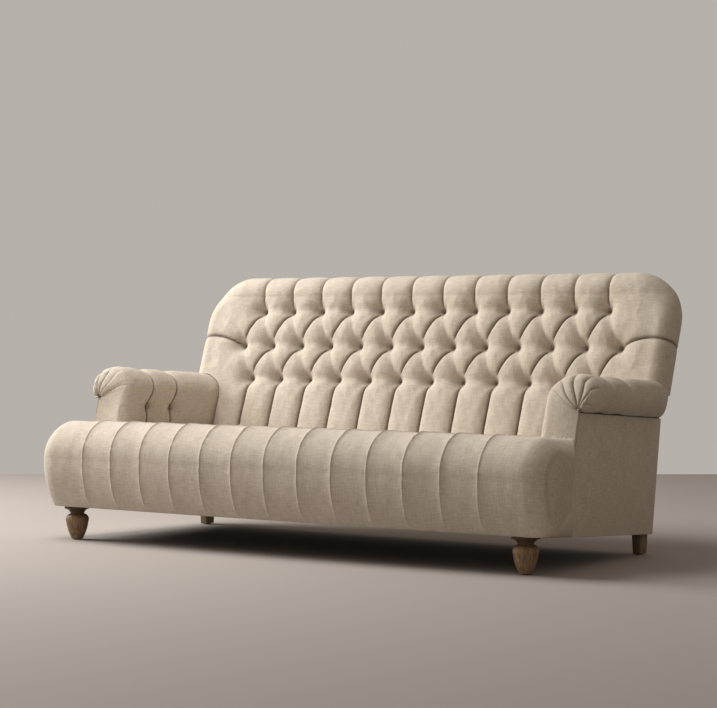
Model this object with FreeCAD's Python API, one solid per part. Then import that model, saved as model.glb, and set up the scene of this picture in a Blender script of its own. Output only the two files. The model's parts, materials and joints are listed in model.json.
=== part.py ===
import FreeCAD, Part
import math
import os
from FreeCAD import Vector

# Three-seat sofa, tight upholstered: a deep-buttoned back, a seat sewn in channels,
# scroll arms with gathered fronts, turned front legs and tapered square rear legs.
# Millimetres. +X runs along the sofa, -Y is the front, +Z is up, the floor is Z zero.
# The upholstered body is drawn level and then leans back as one. Its own datum is the
# underside of the frame, and its Y is measured from a line under the middle of the seat.

# Stance
body_tilt_degrees = 3.8
underside_height = 87.1
overrun = 60.0
fit_gap = 0.5
seat_gap = 0.3
flatness = 0.000001

# Seat
seat_half_width = 1044.0
seat_end_width = 235.8
channel_count = 12
channel_shares = (0.0, 0.12, 0.3, 0.5, 0.7, 0.88)
seam_depth = 7.0
seat_top = 300.0
nose_forward = 535.0
nose_height = 165.0
foot_forward = 480.0
top_edge_forward = 435.0
lower_bulge_share = 0.086
nose_bulge_share = 0.2
top_edge_inset_share = 0.6
lower_cuts = 3
upper_cuts = 5
seat_bow = 20.0
seat_corner_radius = 90.0
corner_turns_degrees = (0, 22, 42, 60, 76, 90)
seat_end_drop = 100.0
seat_end_rise = 70.0
seat_end_tuck = 30.0
seat_pad_thickness = 75.0
seat_rear = 285.0
shoulder_step = 2.0
shoulder_width = 46.0
shoulder_sweep = 70.4

# Arms
arm_front = -270.0
arm_width = 140.0
arm_plan_taper = 45.0
arm_rear = 350.0
arm_rake_degrees = 14.1
arm_crest = 502.5
scroll_height = 121.0
scroll_overhang = 49.0
arm_crest_inboard = 105.0
arm_pleat_spacing = 130.0
arm_first_pleat = -135.0
arm_pleat_depth = 9.0
pleat_shares = (0.15, 0.5, 0.85)
arm_front_shares = ((0.0, 1.0), (0.1, 0.55), (0.35, 0.24), (0.65, 0.06), (1.0, 0.0))
arm_button_height = 365.0
arm_round = 34.0
arm_cuts = 5
arm_wall = 38.0
panel_thickness = 10.0
front_break = 257.0
quarter_round_share = 0.207
under_round_share = 0.9

# Back
button_columns = 12
button_plane_foot = 267.7
upper_row_drop = 50.0
upper_diamond_height = 128.5
lower_diamond_height = 124.5
back_rake_degrees = 14.1
crown_depth = 45.0
pleat_lift = 12.0
button_pit = 17.0
back_overhang = 47.0
back_end_width = 196.0
back_rear_taper = 48.0
back_corner_radius = 180.0
back_plan_radius = 70.0
end_swell = 5.0
end_bulge_share = 0.17
end_floor_share = 0.2
end_round_share = 0.55
side_round_share = 0.7
cell_shares = (0.25, 0.5, 0.75)
cell_cuts = 5
corner_cuts = 5
end_cuts = 4
cell_fullness_share = 0.7
steepest_share = 0.45
over_top_shares = ((0.0, 0.4), (0.35, 0.24), (0.65, 0.19), (0.87, 0.14), (0.98, 0.07))
roll_radius = 75.0
roll_height = 797.0
rear_foot = 331.7
rear_bend = 370.4
rear_bend_height = 383.0
back_pad_inner = 10.0
back_panel_thickness = 8.0
back_panel_drop = 27.0

# Frame timbers
rail_thickness = 30.0
rail_height = 110.0
side_rail_thickness = 25.0
front_rail_face = -430.0
front_rail_setback = 2.0
post_width = 40.0
post_depth = 45.0
post_drop = 52.0
edge_round = 8.0
board_thickness = 25.0
stretcher_width = 45.0
stretcher_dip = 30.0
stretcher_count = 3
stretcher_spacing = 480.0
corner_leg = 95.0
corner_low = 15.0
corner_high = 85.0
corner_nose = 20.0
upright_width = 45.0
upright_places = (-450.0, 0.0, 450.0)

# Webbing and dust cover
web_thickness = 2.0
web_width = 60.0
long_web_count = 13
web_side_margin = 112.0
cross_web_count = 5
cross_web_spacing = 125.0
cross_start = -330.0
web_bay_shares = (0.25, 0.5, 0.75)
dust_cover_thickness = 1.2
dust_margin = 15.0

# Legs
front_leg_inset = 124.0
front_leg_y = -412.5
rear_leg_inset = 32.0
rear_leg_y = 300.0
front_leg_height = 114.5
collar_radius = 44.0
neck_radius = 23.5
bulb_radius = 39.0
foot_radius = 21.0
neck_drop = 24.0
bulb_drop = 52.0
leg_sides = 28
flare_cuts = 5
shoulder_cuts = 4
taper_cuts = 4
flare_share = 0.16
shoulder_share = 0.2
taper_share = 0.05
rear_leg_top_width = 34.0
rear_leg_top_depth = 50.0
rear_leg_foot_width = 28.0
rear_leg_foot_depth = 44.0
bolt_radius = 4.0
bolt_bury = 35.0
bolt_rise = 70.0
glide_height = 3.0
glide_radius = 12.0

# Buttons
button_radius = 8.0
button_rim = 2.0
button_dome = 3.5
dome_share = 0.45
small_round_sides = 8

last_seam = seat_half_width - seat_end_width
seam_pitch = 2 * last_seam / channel_count
arm_outside_front = seat_half_width - shoulder_width
arm_outside_rear = arm_outside_front - arm_plan_taper
arm_inside = arm_outside_front - arm_width
arm_pleats = (arm_first_pleat, arm_first_pleat + arm_pleat_spacing)
back_half_width = arm_outside_rear + back_overhang
button_pitch = 2 * (back_half_width - back_end_width) / button_columns
upper_row = roll_height - upper_row_drop
middle_row = upper_row - upper_diamond_height
lower_row = middle_row - lower_diamond_height
back_panel_top = roll_height - back_panel_drop
post_top = roll_height - post_drop
front_leg_x = seat_half_width - front_leg_inset
rear_leg_x = arm_outside_rear - rear_leg_inset
rake = math.tan(math.radians(back_rake_degrees))
arm_rake = math.tan(math.radians(arm_rake_degrees))
splay_degrees = math.degrees(math.atan((arm_outside_front - arm_outside_rear) / (rear_foot - arm_front)))
splay = math.tan(math.radians(splay_degrees))
panel_inside = arm_outside_front - panel_thickness
splay_stretch = 1 / math.cos(math.radians(splay_degrees))
X_AXIS = Vector(1, 0, 0)
Z_AXIS = Vector(0, 0, 1)
ORIGIN = Vector(0, 0, 0)
parts = {}


# Shared shaping

def bulge(start, end, height, away):
    """Arc from start to end that stands proud of its chord towards away."""
    chord = end.sub(start)
    along = Vector(chord).normalize()
    side = away.sub(Vector(along).multiply(away.dot(along))).normalize()
    middle = start.add(end).multiply(0.5).add(side.multiply(height))
    return Part.Arc(start, middle, end).toShape()


def line(start, end):
    return Part.LineSegment(start, end).toShape()


def points_along(arc, cuts):
    """Points along an arc for a loft with flat faces, without the arc's last one."""
    return arc.discretize(Number=cuts + 1)[:cuts]


def flat_face(corners):
    return Part.Face(Part.makePolygon(corners + corners[:1]))


def flat_loft(sections):
    """Solid through closed sections of equal point counts, with flat faces between them."""
    faces = [flat_face(sections[0]), flat_face(sections[-1])]
    for lower, upper in zip(sections, sections[1:]):
        for place in range(len(lower)):
            near = place - 1
            corners = [lower[near], lower[place], upper[place], upper[near]]
            across = corners[1].sub(corners[0]).cross(corners[2].sub(corners[0]))
            off_plane = abs(across.normalize().dot(corners[3].sub(corners[0])))
            if off_plane < flatness:
                faces.append(flat_face(corners))
            else:
                faces.append(flat_face(corners[:3]))
                faces.append(flat_face([corners[0], corners[2], corners[3]]))
    solid = Part.Solid(Part.Shell(faces))
    if solid.Volume < 0:
        solid.reverse()
    return solid


def polygon_yz(points, x):
    corners = [Vector(x, y, z) for y, z in points]
    return Part.Face(Part.makePolygon(corners + corners[:1]))


def board_yz(points, x_from, x_to):
    """Board cut to a side view outline and running along X."""
    return polygon_yz(points, x_from).extrude(Vector(x_to - x_from, 0, 0))


def board_xy(points, z_from, z_to):
    """Board cut to a plan outline and standing in Z."""
    corners = [Vector(x, y, z_from) for x, y in points]
    return Part.Face(Part.makePolygon(corners + corners[:1])).extrude(Vector(0, 0, z_to - z_from))


def block(x_from, x_to, y_from, y_to, z_from, z_to):
    corner = Vector(x_from, y_from, z_from)
    return Part.makeBox(x_to - x_from, y_to - y_from, z_to - z_from, corner)


def mirrored(shape):
    return shape.mirror(ORIGIN, X_AXIS)


def both_sides(shape):
    return Part.makeCompound([shape, mirrored(shape)])


def rounded(shape, radius, wanted):
    """Ease the edges that wanted(edge) picks, as a planed timber has them."""
    edges = [edge for edge in shape.Edges if wanted(edge)]
    return shape.makeFillet(radius, edges)


def lean(shape):
    """Put a level body piece into its place, leaning back over the floor."""
    placed = shape.copy()
    placed.rotate(ORIGIN, X_AXIS, -body_tilt_degrees)
    placed.translate(Vector(0, 0, underside_height))
    return placed


def splayed(shape):
    """Turn a right-hand side piece in plan, so that its outside follows the arm panel."""
    placed = shape.copy()
    placed.rotate(Vector(arm_outside_front, arm_front, 0), Z_AXIS, splay_degrees)
    return placed


def panel_x(y):
    """Inner face of the outside arm panel at a place along the body."""
    return arm_outside_front - panel_thickness * splay_stretch - (y - arm_front) * splay


def side_rail_x(y):
    """Inner face of the side rail at a place along the body."""
    return panel_x(y) - side_rail_thickness * splay_stretch


def rear_y(z):
    """Rear line of the body at a height over the underside."""
    if z <= rear_bend_height:
        return rear_foot + (rear_bend - rear_foot) * z / rear_bend_height
    roll_rear = roll_centre_y + roll_radius
    share = (z - rear_bend_height) / (roll_height - rear_bend_height)
    return rear_bend + (roll_rear - rear_bend) * share


def button_y(z):
    """Plane that the back's buttons are pulled down to."""
    return button_plane_foot + (z - seat_top) * rake


roll_centre_y = button_y(roll_height) - crown_depth + roll_radius


# Seat upholstery: twelve sewn channels that run over the nose, and plain rounded ends

def seat_profile(x, inset, drop, rise, rear):
    """Side view outline of the seat at one place along the sofa."""
    bow = seat_bow * min(1, abs(x) / last_seam) ** 2
    foot = Vector(x, bow + inset - foot_forward, rise)
    nose = Vector(x, bow + inset - nose_forward, nose_height)
    edge = Vector(x, bow + inset * top_edge_inset_share - top_edge_forward, seat_top - drop)
    top = Vector(x, rear, seat_top - drop)
    heel = Vector(x, rear, rise)
    front = Vector(0, -1, 0)
    lower = bulge(foot, nose, lower_bulge_share * nose.sub(foot).Length, front)
    upper = bulge(nose, edge, nose_bulge_share * edge.sub(nose).Length, Vector(0, -1, 1))
    return points_along(lower, lower_cuts) + points_along(upper, upper_cuts) + [edge, top, heel]


wing_rear = arm_front - panel_thickness * math.sin(math.radians(splay_degrees)) - seat_gap


def seat_form():
    middle = []
    for channel in range(channel_count):
        start = (channel - channel_count / 2) * seam_pitch
        for share in channel_shares:
            sink = seam_depth * (2 * share - 1) ** 4
            middle.append(seat_profile(start + share * seam_pitch, sink, sink, 0, seat_rear))
    deck_side = arm_inside + edge_round
    ends = [(last_seam, seam_depth, seam_depth, 0, seat_rear)]
    ends.append(((last_seam + deck_side) / 2, 0, 0, 0, seat_rear))
    ends.append((deck_side, 0, 0, 0, seat_rear))
    ends.append((deck_side + shoulder_step, 0, 0, 0, wing_rear))
    for turn in corner_turns_degrees:
        sine = math.sin(math.radians(turn))
        round_share = 1 - math.cos(math.radians(turn))
        x = seat_half_width - seat_corner_radius * (1 - sine)
        tuck = max(0.0, (x - seat_half_width + seat_end_tuck) / seat_end_tuck)
        rise = seat_end_rise * (1 - math.sqrt(1 - tuck ** 2))
        rear = wing_rear - max(0.0, x - arm_outside_front) / shoulder_width * shoulder_sweep
        ends.append((x, seat_corner_radius * round_share, seat_end_drop * round_share, rise, rear))
    left = [seat_profile(-x, *sizes) for x, *sizes in reversed(ends)]
    right = [seat_profile(x, *sizes) for x, *sizes in ends]
    return flat_loft(left[:-1] + middle + right)


cavity_front = front_rail_face - fit_gap
cavity_top = seat_top - seat_pad_thickness
cavity_rear = seat_rear + overrun
seat_cavity = board_xy(((-panel_x(cavity_front) - fit_gap, cavity_front),
                        (panel_x(cavity_front) + fit_gap, cavity_front),
                        (panel_x(cavity_rear) + fit_gap, cavity_rear),
                        (-panel_x(cavity_rear) - fit_gap, cavity_rear)), -overrun, cavity_top)
parts["seat_upholstery"] = lean(seat_form().cut(seat_cavity))


# Back upholstery: diamonds between three staggered rows of buttons, channels below them,
# pleats over the top roll, and a plain swelling panel at each end

def back_section(z, opening, depth, half_width):
    """Plan outline of the back at one height. opening is the width of the cells that
    are centred on the upper and lower rows' buttons, depth how far the pleats lie back."""
    if z <= roll_height:
        crown_y = button_y(z) - crown_depth
        back_y = rear_y(z)
    else:
        half_roll = math.sqrt(roll_radius ** 2 - (z - roll_height) ** 2)
        crown_y = roll_centre_y - half_roll
        back_y = roll_centre_y + half_roll
    front = Vector(0, -1, 0)
    valley_y = crown_y + depth
    end_pit = fit_gap + (button_pit - fit_gap) * (opening - button_pit) / (button_pitch - 2 * button_pit)
    reach = (button_columns - 1) / 2 * button_pitch + opening / 2 + end_pit
    valleys = [Vector(-reach, valley_y, z)]
    for column in range(button_columns):
        centre = (column - (button_columns - 1) / 2) * button_pitch
        valleys.append(Vector(centre - opening / 2, valley_y, z))
        valleys.append(Vector(centre + opening / 2, valley_y, z))
    valleys.append(Vector(reach, valley_y, z))
    plan_round = min(back_plan_radius, end_round_share * (half_width - reach), side_round_share * (back_y - crown_y))
    ridge_y = crown_y - end_swell
    ridge = Vector(half_width - plan_round, ridge_y, z)
    side = Vector(half_width, ridge_y + plan_round, z)
    rear = Vector(half_width - (back_rear_taper if z > arm_crest else 0), back_y, z)
    left_ridge = Vector(-ridge.x, ridge.y, z)
    left_side = Vector(-side.x, side.y, z)
    left_rear = Vector(-rear.x, rear.y, z)
    corner_rise = quarter_round_share * side.sub(ridge).Length
    end_rise = end_bulge_share * ridge.sub(valleys[-1]).Length * min(1.0, depth / crown_depth + end_floor_share)
    outline = [left_rear]
    outline.extend(points_along(bulge(left_side, left_ridge, corner_rise, Vector(-1, -1, 0)), corner_cuts))
    outline.extend(points_along(bulge(left_ridge, valleys[0], end_rise, front), end_cuts))
    for start, end in zip(valleys, valleys[1:]):
        width = end.x - start.x
        full = button_pitch - 2 * button_pit
        share = max(0.0, (width - button_pit) / full) ** cell_fullness_share
        rise = min(max(fit_gap, depth - crown_depth * (1 - share)), steepest_share * width)
        outline.extend(points_along(bulge(start, end, rise, front), cell_cuts))
    outline.extend(points_along(bulge(valleys[-1], ridge, end_rise, front), end_cuts))
    outline.extend(points_along(bulge(ridge, side, corner_rise, Vector(1, -1, 0)), corner_cuts))
    return outline + [side, rear]


def back_width(z):
    """Half width of the back, rounded off at its upper corners."""
    spring = roll_height + roll_radius - back_corner_radius
    if z <= spring:
        return back_half_width
    climb = min(z - spring, back_corner_radius)
    return back_half_width - back_corner_radius + math.sqrt(back_corner_radius ** 2 - climb ** 2)


def buttoned(z):
    """Opening of the diamonds and depth of the pleats at a height, from the seat to the upper row."""
    narrow = button_pit
    wide = button_pitch - button_pit
    pit_half = button_pit / 2
    if z < lower_row:
        return narrow, crown_depth - pleat_lift / 2 * (lower_row - z) / (lower_row - seat_top)
    if z < middle_row:
        below, above, start, end = lower_row, middle_row, narrow, wide
    else:
        below, above, start, end = middle_row, upper_row, wide, narrow
    share = (z - below - pit_half) / (above - below - button_pit)
    share = min(1.0, max(0.0, share))
    return start + (end - start) * share, crown_depth - pleat_lift * math.sin(math.pi * share)


def back_form():
    pit_half = button_pit / 2
    heights = [seat_top + seat_gap, lower_row]
    for below, above in ((lower_row, middle_row), (middle_row, upper_row)):
        foot = below + pit_half
        for share in (0, *cell_shares, 1):
            heights.append(foot + (above - pit_half - foot) * share)
    heights.append(upper_row + pit_half)
    crest = (arm_crest - fit_gap, arm_crest + fit_gap)
    heights = [z for z in heights if z < crest[0] - fit_gap or z > crest[1] + fit_gap]
    sections = []
    for z in sorted(heights + list(crest)):
        half_width = arm_inside - fit_gap if z < arm_crest else back_width(z)
        sections.append(back_section(z, *buttoned(z), half_width))
    for climb_share, depth_share in over_top_shares:
        z = roll_height + climb_share * roll_radius
        sections.append(back_section(z, button_pit, depth_share * crown_depth, back_width(z)))
    return flat_loft(sections)


inner_roll = roll_radius - crown_depth - back_pad_inner + fit_gap
opening_half = panel_x(rear_bend)
opening_round = back_corner_radius - (back_half_width - opening_half)


def back_opening(half, high):
    """Block as seen from the front, with the upper corners of the back's opening."""
    front_view = block(-half, half, 0, rear_foot + 4 * overrun, -overrun, high)
    return rounded(front_view, opening_round,
                   lambda edge: edge.CenterOfMass.z > high - fit_gap
                   and abs(edge.CenterOfMass.x) > half - fit_gap)


def back_cavity():
    """Room for the back frame: open at the rear and below, closed over the top roll."""
    base = seat_top - overrun
    start = Vector(0, button_y(base) + back_pad_inner, base)
    spring = Vector(0, button_y(roll_height) + back_pad_inner, roll_height)
    crest = Vector(0, roll_centre_y, roll_height + inner_roll)
    fall = Vector(0, 2 * crest.y - spring.y, roll_height)
    sill = Vector(0, fall.y, back_panel_top)
    out = Vector(0, roll_centre_y + roll_radius + overrun, back_panel_top)
    heel = Vector(0, out.y, base)
    edges = [line(start, spring), Part.Arc(spring, crest, fall).toShape(), line(fall, sill),
             line(sill, out), line(out, heel), line(heel, start)]
    side_view = Part.Face(Part.Wire(edges))
    side_view.translate(Vector(-opening_half, 0, 0))
    tunnel = side_view.extrude(Vector(2 * opening_half, 0, 0))
    return tunnel.common(back_opening(opening_half, crest.z + edge_round))


parts["back_upholstery"] = lean(back_form().cut(back_cavity()))


# Arm upholstery: inside arm, top and scroll in one, gathered at the front

def level_arc(low, crest, away):
    """Arc that climbs from low and runs level where it reaches crest."""
    chord = crest.sub(low)
    climb = math.atan2(math.hypot(chord.y, chord.z), abs(chord.x))
    return bulge(low, crest, chord.Length * math.tan(climb / 2) / 2, away)


def arm_section(y, inset, crease):
    """Outline of the right arm in a raked plane that meets the seat at y."""
    crest_z = arm_crest - inset - crease
    inside_x = arm_inside + inset + crease
    middle_z = arm_crest - scroll_height / 2
    under_z = arm_crest - scroll_height + inset / 3
    base_z = seat_top + seat_gap

    def spot(x, z):
        return Vector(x, y + (z - base_z) * arm_rake, z)

    def outside(z):
        return panel_x(y + (z - base_z) * arm_rake)

    foot = spot(inside_x, base_z)
    breast = spot(inside_x, middle_z - inset / 2)
    top = spot(arm_inside + arm_crest_inboard, crest_z)
    side = spot(outside(middle_z) + panel_thickness + scroll_overhang - inset - crease / 3, middle_z)
    under = spot(outside(under_z) - inset / 3, under_z)
    heel = spot(outside(base_z) - inset / 3, base_z)
    up_in = Vector(-1, arm_rake, 1)
    up_out = Vector(1, arm_rake, 1)
    down_out = Vector(1, -arm_rake, -1)
    under_rise = under_round_share * quarter_round_share * under.sub(side).Length
    outline = [heel, foot]
    outline.extend(points_along(level_arc(breast, top, up_in), arm_cuts))
    outline.extend(reversed(points_along(level_arc(side, top, up_out), arm_cuts)))
    outline.insert(len(outline) - arm_cuts, top)
    outline.extend(points_along(bulge(side, under, under_rise, down_out), arm_cuts)[1:])
    return outline + [under]


def arm_form():
    sections = []
    for forward_share, round_share in arm_front_shares:
        sections.append(arm_section(arm_front + forward_share * arm_round, round_share * arm_round, 0))
    flat = arm_front + arm_round
    creases = [flat] + list(arm_pleats) + [arm_rear]
    for start, end in zip(creases, creases[1:]):
        for share in pleat_shares:
            y = start + (end - start) * share
            near = arm_pleat_depth * (2 * share - 1) ** 4
            if (start == flat and share < 0.5) or (end == arm_rear and share > 0.5):
                near = 0
            sections.append(arm_section(y, 0, near))
        sections.append(arm_section(end, 0, 0 if end == arm_rear else arm_pleat_depth))
    return flat_loft(sections)


def arm_cavity():
    """Room for the arm frame, closed at the front and open below and behind."""
    base = seat_top - overrun
    lid = arm_crest - arm_wall
    faces = []
    for y in (arm_front + arm_wall, arm_rear + overrun):
        corners = []
        for inner, z in ((True, base), (False, base), (False, lid), (True, lid)):
            place = y + (z - seat_top) * arm_rake
            corners.append(Vector(arm_inside + arm_wall if inner else side_rail_x(place), place, z))
        faces.append(Part.makePolygon(corners + corners[:1]))
    return Part.makeLoft(faces, True, True)


def frame_front(z):
    """Front face of the back posts at a height over the underside."""
    return rear_y(z) - back_panel_thickness - post_depth


def turned(foot, direction, rings, sides=small_round_sides):
    """Turned piece with flats round it. rings are (distance along, radius) from the foot."""
    sections = []
    for along, radius in rings:
        turns = [2 * math.pi * side / sides for side in range(sides)]
        sections.append([Vector(radius * math.cos(turn), radius * math.sin(turn), along) for turn in turns])
    piece = flat_loft(sections)
    piece.Placement = FreeCAD.Placement(foot, FreeCAD.Rotation(Z_AXIS, direction))
    return piece


def button(x, y, z, direction):
    """Domed covered button, standing on the point and facing direction."""
    crown = button_rim + button_dome
    return turned(Vector(x, y, z), direction,
                       ((0, button_radius), (button_rim, button_radius), (crown, button_radius * dome_share)))


post_inside = opening_half - fit_gap - post_width
room_low = seat_top - overrun
room_high = arm_crest + overrun
room_margin = 2 * web_thickness + fit_gap
frame_room = board_yz(((frame_front(room_low) - room_margin, room_low), (rear_foot + 4 * overrun, room_low),
                       (rear_foot + 4 * overrun, room_high), (frame_front(room_high) - room_margin, room_high),
                       (frame_front(rear_bend_height) - room_margin, rear_bend_height)),
                      arm_inside - overrun, post_inside + post_width + edge_round)
arm_right = arm_form().cut(arm_cavity()).cut(frame_room)
arm_buttons = []
inward = Vector(-1, 0, 0)
for pleat in arm_pleats:
    y = pleat + (arm_button_height - seat_top) * arm_rake
    pit_x = arm_inside + arm_pleat_depth
    pit_radius = button_radius + fit_gap
    pit = turned(Vector(pit_x, y, arm_button_height), inward, ((0, pit_radius), (2 * arm_pleat_depth, pit_radius)))
    arm_right = arm_right.cut(pit)
    arm_buttons.append(button(pit_x - seat_gap, y, arm_button_height, inward))
arm_button_pair = Part.makeCompound(arm_buttons)
parts["arm_upholstery_right"] = lean(arm_right)
parts["arm_upholstery_left"] = lean(mirrored(arm_right))


# Outside panels: covered boards that close the arms and the back

panel_top = arm_crest - scroll_height - fit_gap
panel_outline = ((arm_front, 0), (rear_foot, 0), (rear_y(panel_top), panel_top),
                 (arm_front + (panel_top - front_break) * arm_rake, panel_top), (arm_front, front_break))
outside_arm = splayed(board_yz(panel_outline, panel_inside, arm_outside_front))
parts["outside_arm_panel_right"] = lean(outside_arm)
parts["outside_arm_panel_left"] = lean(mirrored(outside_arm))

back_panel_half = opening_half - fit_gap
panel_rise = back_panel_top - fit_gap
back_outline = ((rear_foot - back_panel_thickness, 0), (rear_foot, 0), (rear_bend, rear_bend_height),
                (rear_y(panel_rise), panel_rise),
                (rear_y(panel_rise) - back_panel_thickness, panel_rise),
                (rear_bend - back_panel_thickness, rear_bend_height))
back_board = board_yz(back_outline, -back_panel_half, back_panel_half)
back_frame_view = back_opening(back_panel_half, roll_height + inner_roll + edge_round - fit_gap)
back_board = back_board.common(back_frame_view)
parts["outside_back_panel"] = lean(back_board)


# Seat frame: rails, stretchers and corner blocks

rail_back = front_rail_face + rail_thickness
front_rail_reach = arm_outside_front - front_rail_setback
front_rail = block(-front_rail_reach, front_rail_reach, front_rail_face, rail_back, 0, rail_height)
front_rail = rounded(front_rail, edge_round, lambda edge: edge.CenterOfMass.z > rail_height - fit_gap
                     and edge.CenterOfMass.y < front_rail_face + fit_gap)
parts["front_rail"] = lean(front_rail)

post_side = ((rear_foot - back_panel_thickness - post_depth, 0),
             (rear_foot - back_panel_thickness, 0),
             (rear_bend - back_panel_thickness, rear_bend_height),
             (rear_y(post_top) - back_panel_thickness, post_top),
             (rear_y(post_top) - back_panel_thickness - post_depth, post_top),
             (rear_bend - back_panel_thickness - post_depth, rear_bend_height))
post_right = board_yz(post_side, post_inside, post_inside + post_width).common(back_frame_view)
parts["back_post_right"] = lean(post_right)
parts["back_post_left"] = lean(mirrored(post_right))

rear_rail_outline = ((rear_foot - back_panel_thickness - rail_thickness, 0),
                     (rear_foot - back_panel_thickness, 0),
                     (rear_y(rail_height) - back_panel_thickness, rail_height),
                     (rear_y(rail_height) - back_panel_thickness - rail_thickness, rail_height))
parts["rear_rail"] = lean(board_yz(rear_rail_outline, -post_inside, post_inside))

side_rail = splayed(block(panel_inside - side_rail_thickness, panel_inside,
                          front_rail_face - overrun, rear_foot + overrun, 0, rail_height))
ahead = block(0, 2 * seat_half_width, front_rail_face - 3 * overrun, rail_back, -overrun, rail_height + overrun)
behind = board_yz(((post_side[0][0], -overrun), (rear_foot + 4 * overrun, -overrun),
                   (rear_foot + 4 * overrun, rear_bend_height), post_side[5], post_side[0]),
                  0, 2 * seat_half_width)
side_rail = side_rail.cut(ahead).cut(behind)
parts["side_rail_right"] = lean(side_rail)
parts["side_rail_left"] = lean(mirrored(side_rail))

rear_rail_face = rear_foot - back_panel_thickness - rail_thickness


def stretcher(x):
    """Cross rail whose top edge is cut hollow, so that the webbing can give."""
    front_top = Vector(x, rail_back, rail_height)
    rear_top = Vector(x, rear_rail_face + rail_height * (rear_bend - rear_foot) / rear_bend_height, rail_height)
    front_foot = Vector(x, rail_back, 0)
    rear_low = Vector(x, rear_rail_face, 0)
    hollow = bulge(front_top, rear_top, stretcher_dip, Vector(0, 0, -1))
    wire = Part.Wire([hollow, line(rear_top, rear_low), line(rear_low, front_foot), line(front_foot, front_top)])
    return Part.Face(wire).extrude(Vector(stretcher_width, 0, 0))


stretchers = []
for place in range(stretcher_count):
    centre = (place - (stretcher_count - 1) / 2) * stretcher_spacing
    stretchers.append(stretcher(centre - stretcher_width / 2))
parts["seat_stretchers"] = lean(Part.makeCompound(stretchers))

inner_side_front = side_rail_x(rail_back)
front_block = board_xy(((inner_side_front, rail_back),
                        (side_rail_x(rail_back + corner_leg), rail_back + corner_leg),
                        (side_rail_x(rail_back + corner_leg) - corner_nose, rail_back + corner_leg),
                        (inner_side_front - corner_leg, rail_back + corner_nose),
                        (inner_side_front - corner_leg, rail_back)), corner_low, corner_high)
rear_block = board_xy(((post_inside, rear_rail_face),
                       (post_inside - corner_leg, rear_rail_face),
                       (post_inside - corner_leg, rear_rail_face - corner_nose),
                       (post_inside - corner_nose, rear_rail_face - corner_leg),
                       (post_inside, rear_rail_face - corner_leg)), corner_low, corner_high)


# Arm frame: scroll-cut front post, top rail and tack rail

arm_base = seat_top + fit_gap
post_left_x = arm_inside + arm_wall + fit_gap
arm_lid = arm_crest - arm_wall - fit_gap
post_front_at_seat = arm_front + arm_wall + 2 * fit_gap


def raked_outline(front, rear, low, high):
    """Side view of an arm timber that leans with the arm front."""
    return ((front + (low - arm_base) * arm_rake, low), (rear + (low - arm_base) * arm_rake, low),
            (rear + (high - arm_base) * arm_rake, high), (front + (high - arm_base) * arm_rake, high))


post_right_x = arm_outside_front - panel_thickness - side_rail_thickness
front_post = board_yz(raked_outline(post_front_at_seat, post_front_at_seat + board_thickness, 0, arm_lid),
                      post_left_x, post_right_x + overrun)
outer_trim = splayed(block(post_right_x, post_right_x + 4 * overrun, arm_front - 4 * overrun,
                           rear_foot + 4 * overrun, -overrun, arm_crest + overrun))
front_post = front_post.cut(outer_trim)
parts["arm_front_post_right"] = lean(front_post)
parts["arm_front_post_left"] = lean(mirrored(front_post))

arm_rail_low = arm_lid - board_thickness
top_rail = board_yz(raked_outline(post_front_at_seat + board_thickness, arm_rear, arm_rail_low, arm_lid),
                    post_left_x, post_right_x + overrun)
tack_rail_low = arm_base
tack_rail_high = tack_rail_low + 2 * board_thickness
tack_rail = board_yz(raked_outline(post_front_at_seat + board_thickness, arm_rear, tack_rail_low, tack_rail_high),
                     post_left_x, post_left_x + board_thickness)
post_face = board_yz(((post_side[0][0], -overrun), (rear_foot + 4 * overrun, -overrun),
                      (rear_foot + 4 * overrun, post_top), post_side[4], post_side[5], post_side[0]),
                     0, 2 * seat_half_width)
top_rail = top_rail.cut(outer_trim).cut(post_face)
tack_rail = tack_rail.cut(outer_trim).cut(post_face)
parts["arm_top_rail_right"] = lean(top_rail)
parts["arm_top_rail_left"] = lean(mirrored(top_rail))
parts["arm_tack_rail_right"] = lean(tack_rail)
parts["arm_tack_rail_left"] = lean(mirrored(tack_rail))


# Back frame: rounded top rail, lower rail and uprights between the posts


def back_top_rail():
    """Rebated rail: half round under the top roll, with a foot out to the back panel."""
    half_depth = inner_roll - 2 * fit_gap
    step_top = back_panel_top - fit_gap
    front_low = Vector(0, roll_centre_y - half_depth, post_top)
    front_spring = Vector(0, roll_centre_y - half_depth, roll_height)
    crest = Vector(0, roll_centre_y, roll_height + half_depth)
    rear_spring = Vector(0, roll_centre_y + half_depth, roll_height)
    step_in = Vector(0, roll_centre_y + half_depth, step_top)
    step_out = Vector(0, rear_y(step_top) - back_panel_thickness, step_top)
    rear_low = Vector(0, rear_y(post_top) - back_panel_thickness, post_top)
    edges = [line(front_low, front_spring), Part.Arc(front_spring, crest, rear_spring).toShape(),
             line(rear_spring, step_in), line(step_in, step_out), line(step_out, rear_low),
             line(rear_low, front_low)]
    side_view = Part.Face(Part.Wire(edges))
    side_view.translate(Vector(-back_panel_half, 0, 0))
    return side_view.extrude(Vector(2 * back_panel_half, 0, 0)).common(back_frame_view)


parts["back_top_rail"] = lean(back_top_rail())

low_rail_low = seat_top + 2 * board_thickness
low_rail_high = low_rail_low + 2 * board_thickness
low_points = ((frame_front(low_rail_low), low_rail_low),
              (frame_front(low_rail_low) + board_thickness, low_rail_low),
              (frame_front(low_rail_high) + board_thickness, low_rail_high),
              (frame_front(low_rail_high), low_rail_high))
parts["back_lower_rail"] = lean(board_yz(low_points, -post_inside, post_inside))

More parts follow.
